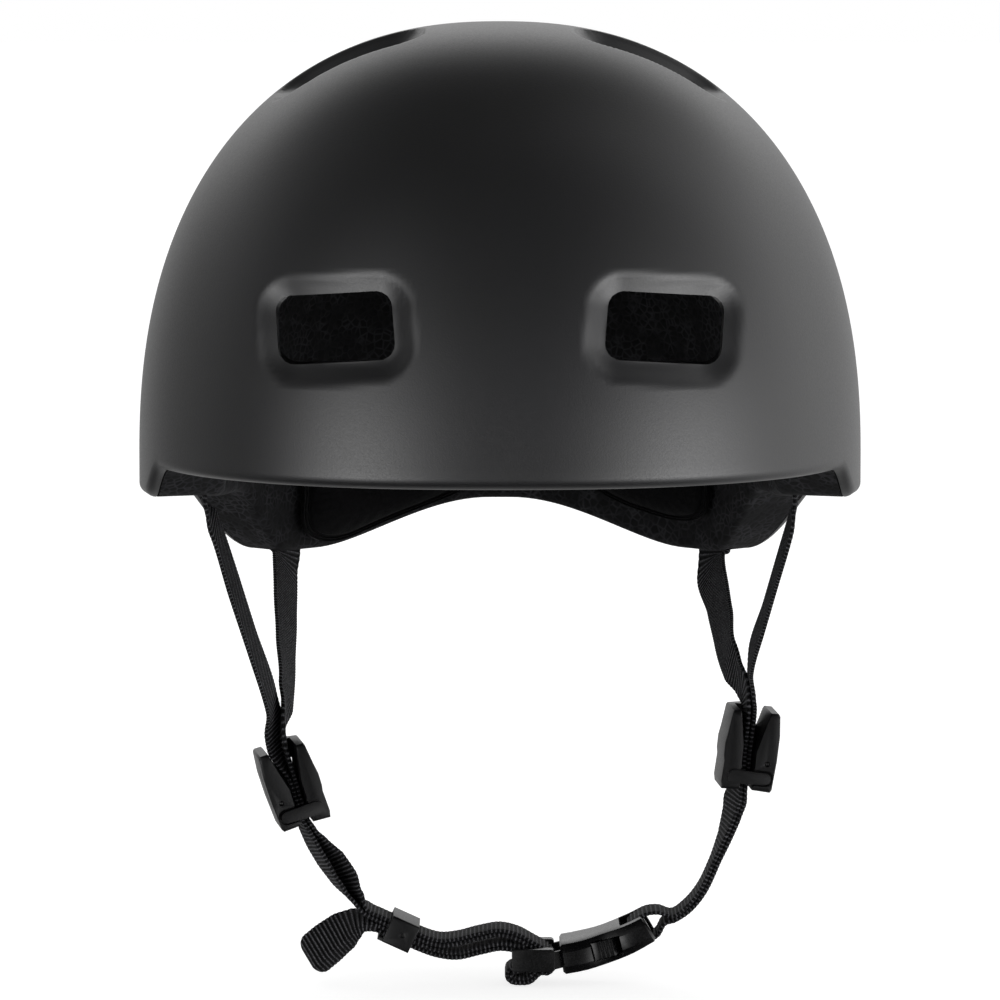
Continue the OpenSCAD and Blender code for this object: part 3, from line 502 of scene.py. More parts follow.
# Meshes
def piece(name, points, faces, material, slot, smooth_angle=None):
    """A mesh piece from points in millimetres, its faces smooth but for edges past an angle."""
    mesh = bpy.data.meshes.new(name)
    mesh.from_pydata((np.asarray(points, float) * MM).tolist(), [], faces)
    mesh.materials.append(material)
    obj = bpy.data.objects.new(name, mesh)
    bpy.context.collection.objects.link(obj)
    soften(obj, smooth_angle)
    return obj


def soften(obj, angle=None):
    """Faces turned outwards and shaded smooth, with sharp edges past an angle."""
    form = bmesh.new()
    form.from_mesh(obj.data)
    bmesh.ops.recalc_face_normals(form, faces=form.faces)
    for face in form.faces:
        face.smooth = True
    if angle:
        limit = math.radians(angle)
        for edge in form.edges:
            edge.smooth = edge.is_boundary or edge.calc_face_angle(math.pi) < limit
    form.to_mesh(obj.data)
    form.free()


def settle(obj):
    """The object's modifiers become its mesh."""
    shown = obj.evaluated_get(bpy.context.evaluated_depsgraph_get())
    mesh = bpy.data.meshes.new_from_object(shown)
    obj.modifiers.clear()
    obj.data = mesh


def ring_faces(rows, count):
    """Quads between rows of equal count, each row a closed ring."""
    return [(i * count + k, i * count + (k + 1) % count,
             (i + 1) * count + (k + 1) % count, (i + 1) * count + k)
            for i in range(rows - 1) for k in range(count)]


def fan_faces(rows, count):
    """Triangles from the first row to the point after all rows, and the last to the next."""
    last = (rows - 1) * count
    return ([((k + 1) % count, k, count * rows) for k in range(count)]
            + [(last + k, last + (k + 1) % count, count * rows + 1) for k in range(count)])


# The dome
def ramp(a, start, stop):
    """Nought before the start and one after the stop, with a smooth rise between."""
    s = np.clip((a - start) / (stop - start), 0, 1)
    return s * s * (3 - 2 * s)


def edge_z(a):
    """Height of the lower edge at an angle from the brow."""
    return sum(rise * ramp(np.abs(a), start, stop) for rise, start, stop in EDGE_STEPS)


def shell_dome(inset):
    """A dome: half width, front, rear and crown, then its bulge's height and its nape's tuck."""
    return (SHELL_W / 2 - inset, FRONT_LEN - inset, REAR_LEN - inset, CROWN_H - inset,
            BULGE_H, NAPE_TUCK)


LINER_IN = SHELL_T + SEAT_GAP
LINER_DOME = (SHELL_W / 2 - LINER_IN - LINER_SIDE, FRONT_LEN - LINER_IN - LINER_FRONT,
              REAR_LEN - LINER_IN - LINER_REAR, CROWN_H - LINER_IN - LINER_CROWN, 0.0, 0.0)


def share(u):
    """How much of a dome's width is left at a share of its height."""
    return (1 - np.clip(u, 0, 1) ** DOME_N) ** (1 / DOME_N)


def dome_reach(dome, a, z):
    """Distance of the dome's wall from its axis at an angle from the brow and a height."""
    width, front, rear, top, bulge, tuck = dome
    angle = np.radians(a)
    w = np.maximum(width * share(z / top), 1e-6)
    tucked = rear - tuck * ((bulge - z) / (BULGE_H - edge_z(180.0))) ** 2
    back = np.where(z > bulge, rear * share((z - bulge) / (top - bulge)), tucked)
    length = np.maximum(np.where(np.cos(angle) > 0, front * share(z / top), back), 1e-6)
    return ((np.abs(np.sin(angle)) / w) ** DOME_N
            + (np.abs(np.cos(angle)) / length) ** DOME_N) ** (-1 / DOME_N)


def dome_point(dome, a, z, inset=0.0):
    """Points of a dome's wall at angles from the brow and heights, or inside it."""
    a, z = np.broadcast_arrays(np.asarray(a, float), np.asarray(z, float))
    r = dome_reach(dome, a, z) - inset
    return np.stack([r * np.sin(np.radians(a)), -r * np.cos(np.radians(a)), z], axis=-1)


def dome_row(dome, a, lift, j):
    """One ring of a dome, j going from 0 at its foot to 1 at its crown."""
    foot = edge_z(a) + lift
    return dome_point(dome, a, foot + (dome[3] - foot) * math.sin(math.pi / 2 * j) ** (2 / DOME_N))


def rounded_box(x, y, size):
    """Distance outside a rounded rectangle, below nought inside it."""
    w, h, r = size
    qx, qy = np.abs(x) - (w / 2 - r), np.abs(y) - (h / 2 - r)
    return np.hypot(np.maximum(qx, 0), np.maximum(qy, 0)) + np.minimum(np.maximum(qx, qy), 0) - r


def vent_places(p):
    """For each vent, a point's place across and up it, and whether it is on that vent's side."""
    for side in (-1, 1):
        for y_sign, (vent_x, vent_z) in ((-1, FRONT_VENT), (1, REAR_VENT)):
            x, z = p[..., 0] - side * vent_x, p[..., 2] - vent_z
            tilt = -side * VENT_TILT
            yield (x * math.cos(tilt) + z * math.sin(tilt),
                   z * math.cos(tilt) - x * math.sin(tilt), p[..., 1] * y_sign > END_VENT_Y)
        for vent_y in TOP_VENTS_Y:
            yield p[..., 0] - side * TOP_VENT_X, p[..., 1] - vent_y, p[..., 2] > TOP_VENT_Z


def vent_distance(p, size):
    """Distance outside the nearest vent outline, below nought inside it."""
    nearest = np.full(p.shape[:-1], FAR_OFF)
    for x, y, near in vent_places(p):
        nearest = np.minimum(nearest, np.where(near, rounded_box(x, y, size), FAR_OFF))
    return nearest


def press_recesses(rows, grown=0.0):
    """Rows of points pushed inward along their normals where the vents' recesses are."""
    along = np.roll(rows, -1, axis=1) - np.roll(rows, 1, axis=1)
    up = np.gradient(rows, axis=0)
    out = np.cross(along, up)
    out /= np.maximum(np.linalg.norm(out, axis=-1, keepdims=True), 1e-9)
    inside = grown - vent_distance(rows, RECESS)
    slope = np.clip(inside / LEDGE_W, 0, 1) ** RECESS_HOLLOW
    depth = RECESS_D * slope * ramp(inside, *RECESS_LIP)
    return rows - out * depth[..., None]


def cut_holes(points, distance, faces):
    """Faces with the parts below nought distance cut away along a clean line."""
    points = [tuple(p) for p in points]
    made = {}
    kept = []
    for face in faces:
        if all(distance[v] >= 0 for v in face):
            kept.append(face)
            continue
        if all(distance[v] < 0 for v in face):
            continue
        outline = []
        for v, w in zip(face, face[1:] + face[:1]):
            if distance[v] >= 0:
                outline.append(v)
            if (distance[v] >= 0) != (distance[w] >= 0):
                key = (min(v, w), max(v, w))
                if key not in made:
                    f = distance[v] / (distance[v] - distance[w])
                    made[key] = len(points)
                    points.append(tuple(a + (b - a) * f for a, b in zip(points[v], points[w])))
                outline.append(made[key])
        if len(outline) > 2:
            kept.append(tuple(outline))
    used = sorted({v for face in kept for v in face})
    number = {v: i for i, v in enumerate(used)}
    return [points[v] for v in used], [tuple(number[v] for v in face) for face in kept]


SHELL_COLUMNS = 480
SHELL_ROWS = 130
ROLL_TURN = 80
ROLL_ROWS = 7
SHELL_SHARP = 50


def make_shell():
    """The dome pressed, holed and thickened inwards, above a rolled rim."""
    a = np.arange(SHELL_COLUMNS) * 360 / SHELL_COLUMNS - 180
    outer = shell_dome(0)
    roll = [dome_point(outer, a, edge_z(a) + RIM_ROLL * (1 - math.cos(b)),
                       RIM_ROLL * (1 - math.sin(b)))
            for b in np.radians(np.linspace(0, ROLL_TURN, ROLL_ROWS))]
    rise = [dome_row(outer, a, RIM_ROLL, j / SHELL_ROWS) for j in range(SHELL_ROWS)]
    rows = press_recesses(np.array(roll + rise))
    count = len(rows)
    faces = ring_faces(count, SHELL_COLUMNS)
    crown = count * SHELL_COLUMNS
    top = (count - 1) * SHELL_COLUMNS
    faces += [(top + k, top + (k + 1) % SHELL_COLUMNS, crown) for k in range(SHELL_COLUMNS)]
    distance = np.append(vent_distance(rows, HOLE).reshape(-1), FAR_OFF)
    points = np.vstack([rows.reshape(-1, 3), [[0, 0, CROWN_H]]])
    points, faces = cut_holes(points, distance, faces)
    shell = piece("helmet_shell", points, faces, ABS, "shell_abs")
    wall = shell.modifiers.new("wall", "SOLIDIFY")
    wall.thickness = SHELL_T * MM
    wall.offset = -1
    wall.use_even_offset = True
    settle(shell)
    soften(shell, SHELL_SHARP)
    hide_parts("outer_shell")
    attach(shell, "helmet")


LINER_COLUMNS = 240
LINER_ROWS = 60
LINER_RIM_ROWS = 6
RECESS_ROOM = 0.4
VENT_STEPS = 10
TUNNEL_GROWN = 1.0
TUNNEL_ENDS = (60, 150)
TOP_TUNNEL_ENDS = (70, 160)
LINER_SHARP = 40
# Cuts at a strap's slot: half width, nearest and farthest out, bottom and top
SLOT_CUTS = ((WEB_W / 2 + 0.4, -1.2, 1.2, -3, 17),
             (WEB_W / 2 + 3.2, -3.2, 30, 12, ANCHOR_RISE + 5))


def outline_ring(size, grown, steps):
    """Points round a rounded rectangle, grown all round."""
    w, h, r = size
    points = []
    for corner, (sx, sy) in enumerate(((1, 1), (-1, 1), (-1, -1), (1, -1))):
        for i in range(steps + 1):
            t = math.radians(90 * (corner + i / steps))
            points.append((sx * (w / 2 - r) + (r + grown) * math.cos(t),
                           sy * (h / 2 - r) + (r + grown) * math.sin(t)))
    return points


def prism(points, faces, ring, place, near, far):
    """Adds a closed prism through a ring, from near to far along its axis."""
    start, n = len(points), len(ring)
    points += [place(x, y, near) for x, y in ring] + [place(x, y, far) for x, y in ring]
    faces += [(start + k, start + (k + 1) % n, start + n + (k + 1) % n, start + n + k)
              for k in range(n)]
    faces += [tuple(start + k for k in reversed(range(n))), tuple(start + n + k for k in range(n))]


def width_at(side, turn):
    """The direction of webbing's width at a turn from straight back."""
    return np.array([-side * math.sin(math.radians(turn)), math.cos(math.radians(turn)), 0.0])


def width_across(way, side, turn):
    """The direction of a strap's width across its way, turned from fore and aft."""
    way = way / np.linalg.norm(way)
    aft = np.array([0.0, 1.0, 0.0]) - way * way[1]
    aft /= np.linalg.norm(aft)
    across = np.cross(way, aft)
    turn = math.radians(turn) * side * (-1 if across[0] > 0 else 1)
    return aft * math.cos(turn) + across * math.sin(turn)


def slot_frame(slot, side):
    """Axes at a strap's slot: its place, the width of the strap and the way out of the head."""
    x, y, _ = dome_point(LINER_DOME, slot[0], 0.0, -slot[1])
    width = width_at(side, slot[3])
    return (np.array([side * x, y, slot[2]]), width,
            np.array([side * width[1], -side * width[0], 0.0]))


def liner_rows(outer):
    """Rows of the liner from inside the crown, down and round its rim, and up its outside."""
    a = np.arange(LINER_COLUMNS) * 360 / LINER_COLUMNS - 180
    inside = [dome_row(LINER_DOME, a, LINER_EDGE, j / LINER_ROWS)
              for j in reversed(range(LINER_ROWS))]
    inner_rim = [dome_point(LINER_DOME, a, edge_z(a) + LINER_EDGE * (1 - math.cos(b)),
                            -LINER_EDGE * (1 - math.sin(b)))
                 for b in np.radians(np.linspace(ROLL_TURN, 0, LINER_RIM_ROWS))]
    outer_rim = [dome_point(outer, a, edge_z(a) + lift, RIM_ROLL - SHELL_T)
                 for lift in (0, SHELL_T + SEAT_GAP)]
    rise = [dome_row(outer, a, RIM_ROLL + SEAT_GAP, j / LINER_ROWS) for j in range(LINER_ROWS)]
    rise = press_recesses(np.array(rise), SHELL_T + SEAT_GAP + RECESS_ROOM)
    return inside + inner_rim + outer_rim + list(rise)


def liner_cuts():
    """The vents' tunnels and the straps' slots as closed prisms."""
    points, faces = [], []
    ring = outline_ring(HOLE, TUNNEL_GROWN, VENT_STEPS)
    for side in (-1, 1):
        for y_sign, (vent_x, vent_z) in ((-1, FRONT_VENT), (1, REAR_VENT)):
            c, s = math.cos(-side * VENT_TILT), math.sin(-side * VENT_TILT)
            prism(points, faces, ring,
                  lambda x, y, d, c=c, s=s, vx=vent_x, vz=vent_z, sign=y_sign, side=side:
                  (side * vx + x * c - y * s, sign * d, vz + x * s + y * c), *TUNNEL_ENDS)
        for vent_y in TOP_VENTS_Y:
            prism(points, faces, ring, lambda x, y, d, vy=vent_y, side=side:
                  (side * TOP_VENT_X + x, vy + y, d), *TOP_TUNNEL_ENDS)
        for slot in (FRONT_SLOT, REAR_SLOT):
            place, across, out = slot_frame(slot, side)
            for w, near, far, low, high in SLOT_CUTS:
                box = [(-w, near), (w, near), (w, far), (-w, far)]
                prism(points, faces, box,
                      lambda x, y, d, place=place, across=across, out=out:
                      tuple(place + across * x + out * y + np.array([0, 0, d])), low, high)
    return points, faces


def make_liner():
    """The foam between shell and head, with its tunnels and slots cut out."""
    outer = shell_dome(LINER_IN)
    rows = liner_rows(outer)
    points = [tuple(p) for row in rows for p in row]
    points += [(0, 0, LINER_DOME[3]), (0, 0, outer[3])]
    faces = ring_faces(len(rows), LINER_COLUMNS) + fan_faces(len(rows), LINER_COLUMNS)
    liner = piece("foam_shell", points, faces, EPS, "liner_eps")
    cutter = piece("vent_cores", *liner_cuts(), EPS, "liner_eps")
    cut = liner.modifiers.new("cut", "BOOLEAN")
    cut.operation = "DIFFERENCE"
    cut.solver = "EXACT"
    cut.use_self = True
    cut.object = cutter
    settle(liner)
    bpy.data.objects.remove(cutter)
    soften(liner, LINER_SHARP)
    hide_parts("foam_liner")
    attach(liner, "helmet")


# Pads: angle or place, height, width and height of each, whether at the crown, edge followed
PADS = {
    "brow_pad": (0, 17, 138, 26, False, 0),
    "crown_pad": (0, 0, 46, 104, True, 0),
    "left_side_pad": (90, 30, 74, 34, False, 0),
    "right_side_pad": (-90, 30, 74, 34, False, 0),
    "left_rear_pad": (151, 26, 50, 34, False, 1),
    "right_rear_pad": (-158, 19, 62, 34, False, 1),
}
PAD_STEPS = 160
PAD_SHARP = 60
# Rows of a pad's face as shares of the way out, close over the weld, then of its back
PAD_FACE = [*np.linspace(0.04, 0.88, 22), *np.linspace(0.89, 1.0, 23)]
PAD_BACK = (1.0, 0.8, 0.5, 0.2)
PAD_CORNER = 4.5  # squareness of a pad's outline
PAD_DRAW = 0.035  # how far its sides pull in
PAD_REACH = 95  # the head's radius where a pad's width is bent round it
PAD_WELD = 0.9  # share of the way out at which the foam ends and the welded border starts
PAD_SWELL = 0.55
PUCKERS = 31
PUCKER_D = 0.28
PUCKER_FROM = (0.55, 0.86)
WELD_LINES = (0.925, 0.972)
WELD_LINE_D = 0.45
WELD_LINE_W = 0.012


def pad_point(pad, x, y, lift):
    """Points held off the inside of the liner, at places across and up a pad."""
    if pad[4]:
        v = y + pad[1]
        r = np.maximum(np.hypot(x, v), 0.01)
        far = dome_reach(LINER_DOME, np.degrees(np.arctan2(x, -v)), np.zeros_like(x))
        return np.stack([x, v, LINER_DOME[3] * share(r / far) - lift], axis=-1)
    a = pad[0] + np.degrees(x / PAD_REACH)
    return dome_point(LINER_DOME, a, edge_z(a) * pad[5] + pad[1] + y, lift)


def pad_outline(pad, t):
    """A squared oval whose sides pull in between its corners."""
    c, s = np.cos(t), np.sin(t)
    r = (np.abs(c) ** PAD_CORNER + np.abs(s) ** PAD_CORNER) ** (-1 / PAD_CORNER)
    draw = 1 - PAD_DRAW * np.cos(2 * t) ** 4
    return pad[2] / 2 * r * c * draw, pad[3] / 2 * r * s * draw


def pad_height(f, t):
    """Height of the pad's face: foam crown, then a welded border with two pressed lines."""
    crown = np.clip(1 - (f / PAD_WELD) ** 3, 0, 1) ** PAD_SWELL
    wave = np.sin(t * PUCKERS + 2 * np.sin(3 * t))
    pucker = PUCKER_D * wave * ramp(f, *PUCKER_FROM) * (f < PAD_WELD)
    weld = sum(WELD_LINE_D * math.exp(-((f - line) / WELD_LINE_W) ** 2) for line in WELD_LINES)
    return PAD_EDGE_T + (PAD_T - PAD_EDGE_T) * crown + pucker * crown - weld


def make_pad(name, pad):
    """A foam pad in welded fabric, its back flat against the hook discs."""
    t = np.arange(PAD_STEPS) * 2 * math.pi / PAD_STEPS
    x, y = pad_outline(pad, t)
    rows = [pad_point(pad, x * f, y * f, PAD_STAND + pad_height(f, t)) for f in PAD_FACE]
    rows += [pad_point(pad, x * f, y * f, PAD_STAND) for f in PAD_BACK]
    points = [tuple(p) for row in rows for p in row]
    zero = np.zeros(1)
    points += [tuple(pad_point(pad, zero, zero, PAD_STAND + PAD_T)[0]),
               tuple(pad_point(pad, zero, zero, PAD_STAND)[0])]
    faces = ring_faces(len(rows), PAD_STEPS) + fan_faces(len(rows), PAD_STEPS)
    obj = piece("comfort_" + name, points, faces, TRICOT, "pad_fabric", PAD_SHARP)
    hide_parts(name)
    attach(obj, "helmet")


# Webbing
def curve(p, i, t):
    """A point between p[i] and p[i + 1] on a smooth curve that keeps to its short spans."""
    b, c = p[i], p[i + 1]
    a = p[i - 1] if i > 0 else 2 * b - c
    d = p[i + 2] if i < len(p) - 2 else 2 * c - b
    u, v, w = (math.sqrt(np.linalg.norm(q)) for q in (b - a, c - b, d - c))
    m = (c - b) + v * ((b - a) / u - (c - a) / (u + v))
    q = (c - b) + v * ((d - c) / w - (d - b) / (v + w))
    return b + m * t + (3 * (c - b) - 2 * m - q) * t ** 2 + (m + q - 2 * (c - b)) * t ** 3


# Places across the webbing's half width; the selvedges start at 0.88, behind a small groove,
# and their edges are thinner past each of these places
ACROSS = (-1.0, -0.965, -0.9, -0.86, -0.8, -0.45, 0.0, 0.45, 0.8, 0.86, 0.9, 0.965, 1.0)
SELVEDGE = 0.88
SELVEDGE_GROOVE = 0.1
SELVEDGE_RIBS = 0.35
EDGE_THIN = ((0.99, 0.45), (0.96, 0.85), (0.0, 1.0))
BRAID = 0.12
SPAN_STEPS = 40
RIB_STEPS = 6
WEB_SHARP = 70
# How much a folded end loses of its thickness and of its width
END_THIN = 0.97
END_NARROW = 0.45


def web_section(s, thick):
    """The webbing's outline at a length s: ribs between two smooth selvedges."""
    rib = abs(math.sin(math.pi * s / RIB_PITCH)) ** 0.7
    braid = BRAID * (1 - rib)
    face = []
    for v in ACROSS:
        groove = RIB_DEPTH * (1 - rib) * (SELVEDGE_RIBS if abs(v) > SELVEDGE else 1.0)
        crown = next(thin for start, thin in EDGE_THIN if abs(v) >= start)
        half = thick / 2 * crown - groove * (crown > 0.8)
        if 0.84 < abs(v) < SELVEDGE:
            half -= SELVEDGE_GROOVE
        face.append((v * (WEB_W / 2 - braid), half))
    return face + [(v, -h) for v, h in reversed(face)]


def webbing_frames(rows, heights):
    """Lengths along smooth webbing, with its centre, the way of its width and its thickness."""
    points = [np.array(r[0], float) for r in rows]
    sides = [np.array(r[1], float) for r in rows]
    line, width, high = [], [], []
    for i in range(len(points) - 1):
        for j in range(SPAN_STEPS):
            t = j / SPAN_STEPS
            line.append(curve(points, i, t))
            ease = t * t * (3 - 2 * t) if i + 2 < len(points) else t
            width.append(sides[i] + (sides[i + 1] - sides[i]) * ease)
            high.append(heights[i] + (heights[i + 1] - heights[i]) * t)
    line, width = np.array(line + points[-1:]), np.array(width + sides[-1:])
    run = np.concatenate([[0], np.cumsum(np.linalg.norm(np.diff(line, axis=0), axis=1))])
    at = np.linspace(0, run[-1], max(8, int(run[-1] / (RIB_PITCH / RIB_STEPS))) + 1)
    centre, side = (np.stack([np.interp(at, run, q[:, k]) for k in range(3)], axis=-1)
                    for q in (line, width))
    return at, centre, side, np.interp(at, run, high + heights[-1:])


def make_webbing(name, node, rows, thick=None, end_round=0.0):
    """Ribbed webbing along rows of a point and the direction of its width."""
    at, centre, side, tall = webbing_frames(rows, thick or [WEB_T] * len(rows))
    way = np.gradient(centre, axis=0)
    way /= np.linalg.norm(way, axis=-1, keepdims=True)
    side -= way * np.sum(side * way, axis=-1, keepdims=True)
    side /= np.linalg.norm(side, axis=-1, keepdims=True)
    out = np.cross(way, side)
    made, place = [], []
    for i, s in enumerate(at):
        near_end = max(0.0, 1 - (at[-1] - s) / end_round) if end_round else 0.0
        fold = math.sqrt(1 - near_end ** 2 * END_THIN)
        for v, h in web_section(s, tall[i]):
            across = v * (1 - END_NARROW + END_NARROW * fold)
            made.append(centre[i] + side[i] * across + out[i] * h * fold)
            place.append((s, v))
    n = 2 * len(ACROSS)
    faces = ring_faces(len(at), n)
    faces += [tuple(reversed(range(n))), tuple(len(made) - n + k for k in range(n))]
    obj = piece(name, made, faces, WEAVE, "webbing", WEB_SHARP)
    layer = obj.data.uv_layers.new(name="weave")
    for loop in obj.data.loops:
        layer.data[loop.index].uv = place[loop.vertex_index]
    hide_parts(node)
    return obj


def divider_point(gate, p):
    """A point given in a divider's frame, from the foot where the chin webbing leaves it."""
    lean, turn = math.radians(gate["lean"]), math.radians(gate["turn"])
    side, foot = gate["side"], gate["exit"]
    x = p[0] * math.cos(lean) + p[2] * math.sin(lean)
    z = p[2] * math.cos(lean) - p[0] * math.sin(lean)
    return (foot[0] + side * (x * math.cos(turn) - p[1] * math.sin(turn)),
            foot[1] + x * math.sin(turn) + p[1] * math.cos(turn), foot[2] + z)


def chin_rows(path, off):
    """Rows of a path in the chin plane from points of x, z, twist and bulge, held off it."""
    rows = []
    for i, (x, z, twist, bulge) in enumerate(path):
        a, b = path[max(0, i - 1)], path[min(len(path) - 1, i + 1)]
        t = np.array([b[0] - a[0], b[1] - a[1]], float)
        t /= np.linalg.norm(t)
        across = np.array([-t[1], 0, t[0]])
        turn = math.radians(twist)
        rows.append((np.array([x, CHIN_Y, z]) + across * (off + bulge),
                     np.array([0, math.cos(turn), 0]) + across * math.sin(turn)))
    return rows


# The chin webbing's centre lines from the dividers down: x, z, twist and bulge. The V straps
# hold the rows before this one, and the chin webbing starts at it
BUTT = 3
LEFT_RUN = [(73.3, -99, -6, 0), (71.3, -106.5, -16, 0), (70.1, -111.5, -11, 0),
            (68.6, -116.6, -5, 0), (65.2, -125.2, 0, 0), (61.3, -133.6, 0, 0), (57, -139, 0, 0),
            (52.6, -142, 0, 0)]
RIGHT_RUN = [(-60.5, -109.6, 6, 0), (-58.2, -116, -14, 0), (-55.9, -120.6, -16, 0),
             (-53.3, -125.2, -16, 0), (-49.3, -131.2, -13, 0), (-44.9, -136.4, -7, 0),
             (-40.4, -140.1, 0, 0), (-35.8, -142.4, 0, 0), (-29.4, -145.28, 0, 0),
             (-23, -148.2, 0, 0), (-18.2, -149.5, 0, 0), (-12.5, -149, 0, 0),
             (-6.3, -147.4, 0, 0), (0, -146.4, 0, 0), (5.2, -147.6, 0, 0), (9.3, -149.8, 0, 0)]
# The way back from the ladder lock to the keeper
RETURN_RUN = [(0, -150.6, 0, 0), (-5.7, -151.7, 0, 0), (-13, -153.3, 0, 0), (-19, -152.6, 0, 0),
              (-24.2, -150.8, 0, 0), (-30.6, -147.92, 0, 0), (-37, -145, 0, 0)]
# How far the inner layer of the right run stands off below the divider, and how it twists
BULGE = (0, 0.2, 0.9, 1.9, 2.1, 0.8, 0)
BULGE_TWIST = (0, 0, -6, -14, -16, -12, 0)
# The folded free end: x, z, twist and thickness
TAIL = [(-37.1, -144.95, 0, 2.75), (-40.6, -144, -6, 2.9), (-44, -144.7, -20, 3.8),
        (-48, -147.3, -32, 4.8), (-52.6, -150.9, -36, 5.4), (-56, -153.7, -36, 5.4),
        (-58.3, -155.6, -36, 5.2)]
TAIL_ROUND = 3.4
LAP = 0.12  # share of a span by which the V straps reach past the start of the chin webbing


def right_run(off):
    """The right run; its inner layer bulges away from the outer one below the divider."""
    if off < 0:
        return RIGHT_RUN
    loose = [(x, z, twist + more, bulge)
             for (x, z, twist, _), bulge, more in zip(RIGHT_RUN, BULGE, BULGE_TWIST)]
    return loose + RIGHT_RUN[len(BULGE):]


def strap_rows(gate, front):
    """A front strap lies in the outer layer of its divider and a rear strap in the inner one."""
    side, turn, top = gate["side"], gate["turn"], GATE_H
    w = HALF_LAYER if front else -HALF_LAYER
    slot, width, out = slot_frame(FRONT_SLOT if front else REAR_SLOT, side)
    turns = (FRONT_TURNS if front else REAR_TURNS)[side]
    # From a short end up round the anchor's bar, and down through the slot
    r, h = ANCHOR_D / 2 + ANCHOR_PLAY + WEB_T / 2, ANCHOR_RISE
    loop = [(-r, h - 10), (-r, h), (-r * 0.7, h + r * 0.7), (0, h + r), (r * 0.7, h + r * 0.7),
            (r, h), (r * 0.6, h - 6), (0, h - 15), (0, 6), (0, 1)]
    rows = [(slot + out * q[0] + np.array([0, 0, q[1]]), width) for q in loop]
    bend = [(w + x, y, top + z) for x, y, z in (FRONT_BEND if front else REAR_BEND)[side]]
    near = np.array(divider_point(gate, bend[0]))
    x, y, z = (FRONT_AWAY if front else REAR_AWAY)[side]
    away = slot + np.array([side * x, y, z])
    places = [away, away + (near - away) / 3, away + (near - away) * 2 / 3]
    places += [np.array(divider_point(gate, q)) for q in bend]
    turns = list(turns) + [turn] * (len(places) - len(turns))
    route = [rows[-1][0]] + places + [np.array(divider_point(gate, (w, 0, top / 2)))]
    rows += [(place, width_across(route[i + 2] - route[i], side, turns[i]))
             for i, place in enumerate(places)]
    rows += [(np.array(divider_point(gate, (w, 0, z))), width_at(side, turn))
             for z in (top / 2, 1.5)]
    run, off = (LEFT_RUN, w) if side > 0 else (right_run(-w), -w)
    chin = chin_rows(run, off)
    lap = (chin[BUTT][0] + (chin[BUTT + 1][0] - chin[BUTT][0]) * LAP, chin[BUTT][1])
    return rows + chin[1:BUTT] + [lap]


def arc(centre, r, angles):
    """Points of a path at angles round a bar."""
    turns = [math.radians(a) for a in angles]
    return [(centre[0] + r * math.cos(b), centre[1] + r * math.sin(b), 0, 0) for b in turns]


def left_chin_rows():
    """Up along the outer layer, round the socket's bar and back down the inner layer."""
    lift = SOCKET_BAR_H + WEB_T / 2
    turn = [(8, -1.7), (4.6, -lift), (1, -lift), (-1.7, -lift * 0.75), (-2.6, 0),
            (-1.7, lift * 0.75), (1, lift), (4.6, lift), (8, 2.2)]
    c, s = math.cos(BAR_SLOPE), math.sin(BAR_SLOPE)
    round_bar = [(np.array([LEFT_BAR[0] + x * c - z * s, CHIN_Y, LEFT_BAR[1] + x * s + z * c]),
                  np.array([0.0, 1.0, 0.0])) for x, z in turn]
    return (chin_rows(LEFT_RUN, HALF_LAYER)[BUTT:] + round_bar
            + chin_rows(LEFT_RUN, -HALF_LAYER)[BUTT:][::-1])


def right_chin_rows(off):
    """Down to the ladder lock, round both of its bars and back through the keeper."""
    path = (right_run(off) + arc(LADDER_BAR, WRAP_R, (70, 25, -20, -65, -110))
            + [(8.8, -160.8, 0, 0), (6, -161.1, 0, 0)]
            + arc((4.4, -159.3), 1.6, (-110, -160, 150, 100))
            + arc(LEVER_BAR, WRAP_R, (-70, -25, 20, 65, 95)) + RETURN_RUN)
    return chin_rows(path, off)[BUTT:]


def make_straps():
    """The V straps from the helmet's slots down to the dividers and the doubled chin webbing round
    the buckle's bars; the left chin webbing and the sewn tail ride on their bodies.
    """
    for gate, name in ((LEFT, "left"), (RIGHT, "right")):
        for front, which in ((True, "front"), (False, "rear")):
            strap = make_webbing(f"{name}_{which}_webbing", f"{name}_{which}_strap",
                                 strap_rows(gate, front))
            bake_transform(strap)
    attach(make_webbing("left_chin_webbing", "left_chin_strap", left_chin_rows()), "chin_strap")
    for name, off in (("outer", -HALF_LAYER), ("inner", HALF_LAYER)):
        layer = make_webbing(f"right_chin_webbing_{name}", f"right_chin_strap_{name}",
                             right_chin_rows(off))
        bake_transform(layer)
    rows = chin_rows([(x, z, twist, 0) for x, z, twist, _ in TAIL], 0)
    tail = make_webbing("sewn_tail_webbing", "strap_tail_end", rows, [q[3] for q in TAIL],
                        end_round=TAIL_ROUND)
    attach(tail, "plug_strap")


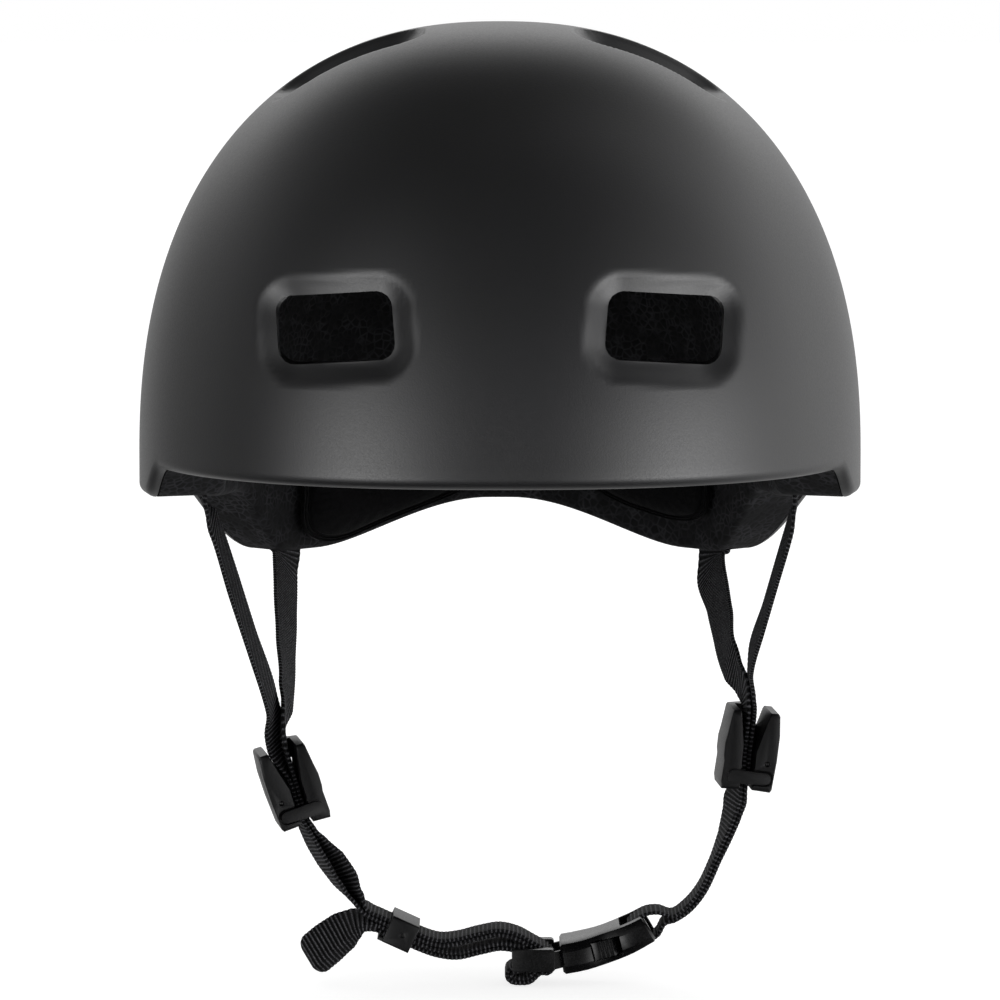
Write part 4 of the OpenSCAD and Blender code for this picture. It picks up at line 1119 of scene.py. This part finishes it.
# Radius of the moulded edges of each hard piece, and its finish
MOULDINGS = {
    "left_divider_plate": (ACETAL_ETCHED, 0.45),
    "left_divider_gate": (ACETAL_ETCHED, 0.45),
    "right_divider_plate": (ACETAL_ETCHED, 0.45),
    "right_divider_gate": (ACETAL_ETCHED, 0.45),
    "strap_keeper": (ACETAL_ETCHED, 0.4),
    "buckle_socket": (ACETAL, 0.5),
    "buckle_plug": (ACETAL, 0.3),
    "front_release_arm": (ACETAL, 0.3),
    "rear_release_arm": (ACETAL, 0.3),
}
# Pieces that keep their solids
KEPT_SOLIDS = {
    "pad_hook_discs": HOOK,
    "strap_anchors": STEEL,
    "left_divider_pin": STEEL,
    "right_divider_pin": STEEL,
}
WELD_GAP = 0.002
MOULD_SHARP = 40
EDGE_SEGMENTS = 3
FLAT_WITHIN = math.radians(1.5)
EDGE_PAST = math.radians(28)


def mould(node, material, radius):
    """The solid's form again with its flat faces whole and its edges rounded as moulded."""
    cad = frame["nodes"][node]
    obj = bpy.data.objects.new(f"{node}_moulding", cad.data.copy())
    obj.matrix_world = cad.matrix_world.copy()
    bpy.context.collection.objects.link(obj)
    form = bmesh.new()
    form.from_mesh(obj.data)
    bmesh.ops.remove_doubles(form, verts=form.verts, dist=WELD_GAP * MM)
    bmesh.ops.dissolve_limit(form, angle_limit=FLAT_WITHIN, verts=form.verts, edges=form.edges)
    form.to_mesh(obj.data)
    form.free()
    edges = obj.modifiers.new("edges", "BEVEL")
    edges.width = radius * MM
    edges.segments = EDGE_SEGMENTS
    edges.limit_method = "ANGLE"
    edges.angle_limit = EDGE_PAST
    settle(obj)
    soften(obj, MOULD_SHARP)
    obj.data.materials.clear()
    obj.data.materials.append(material)
    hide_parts(node)
    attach(obj, cad["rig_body"])


make_shell()
make_liner()
for pad_name, pad_form in PADS.items():
    make_pad(pad_name, pad_form)
make_straps()
for node_name, (finish, edge_radius) in MOULDINGS.items():
    mould(node_name, finish, edge_radius)
for node_name, finish in KEPT_SOLIDS.items():
    for cad_slot in frame["nodes"][node_name].material_slots:
        cad_slot.material = finish
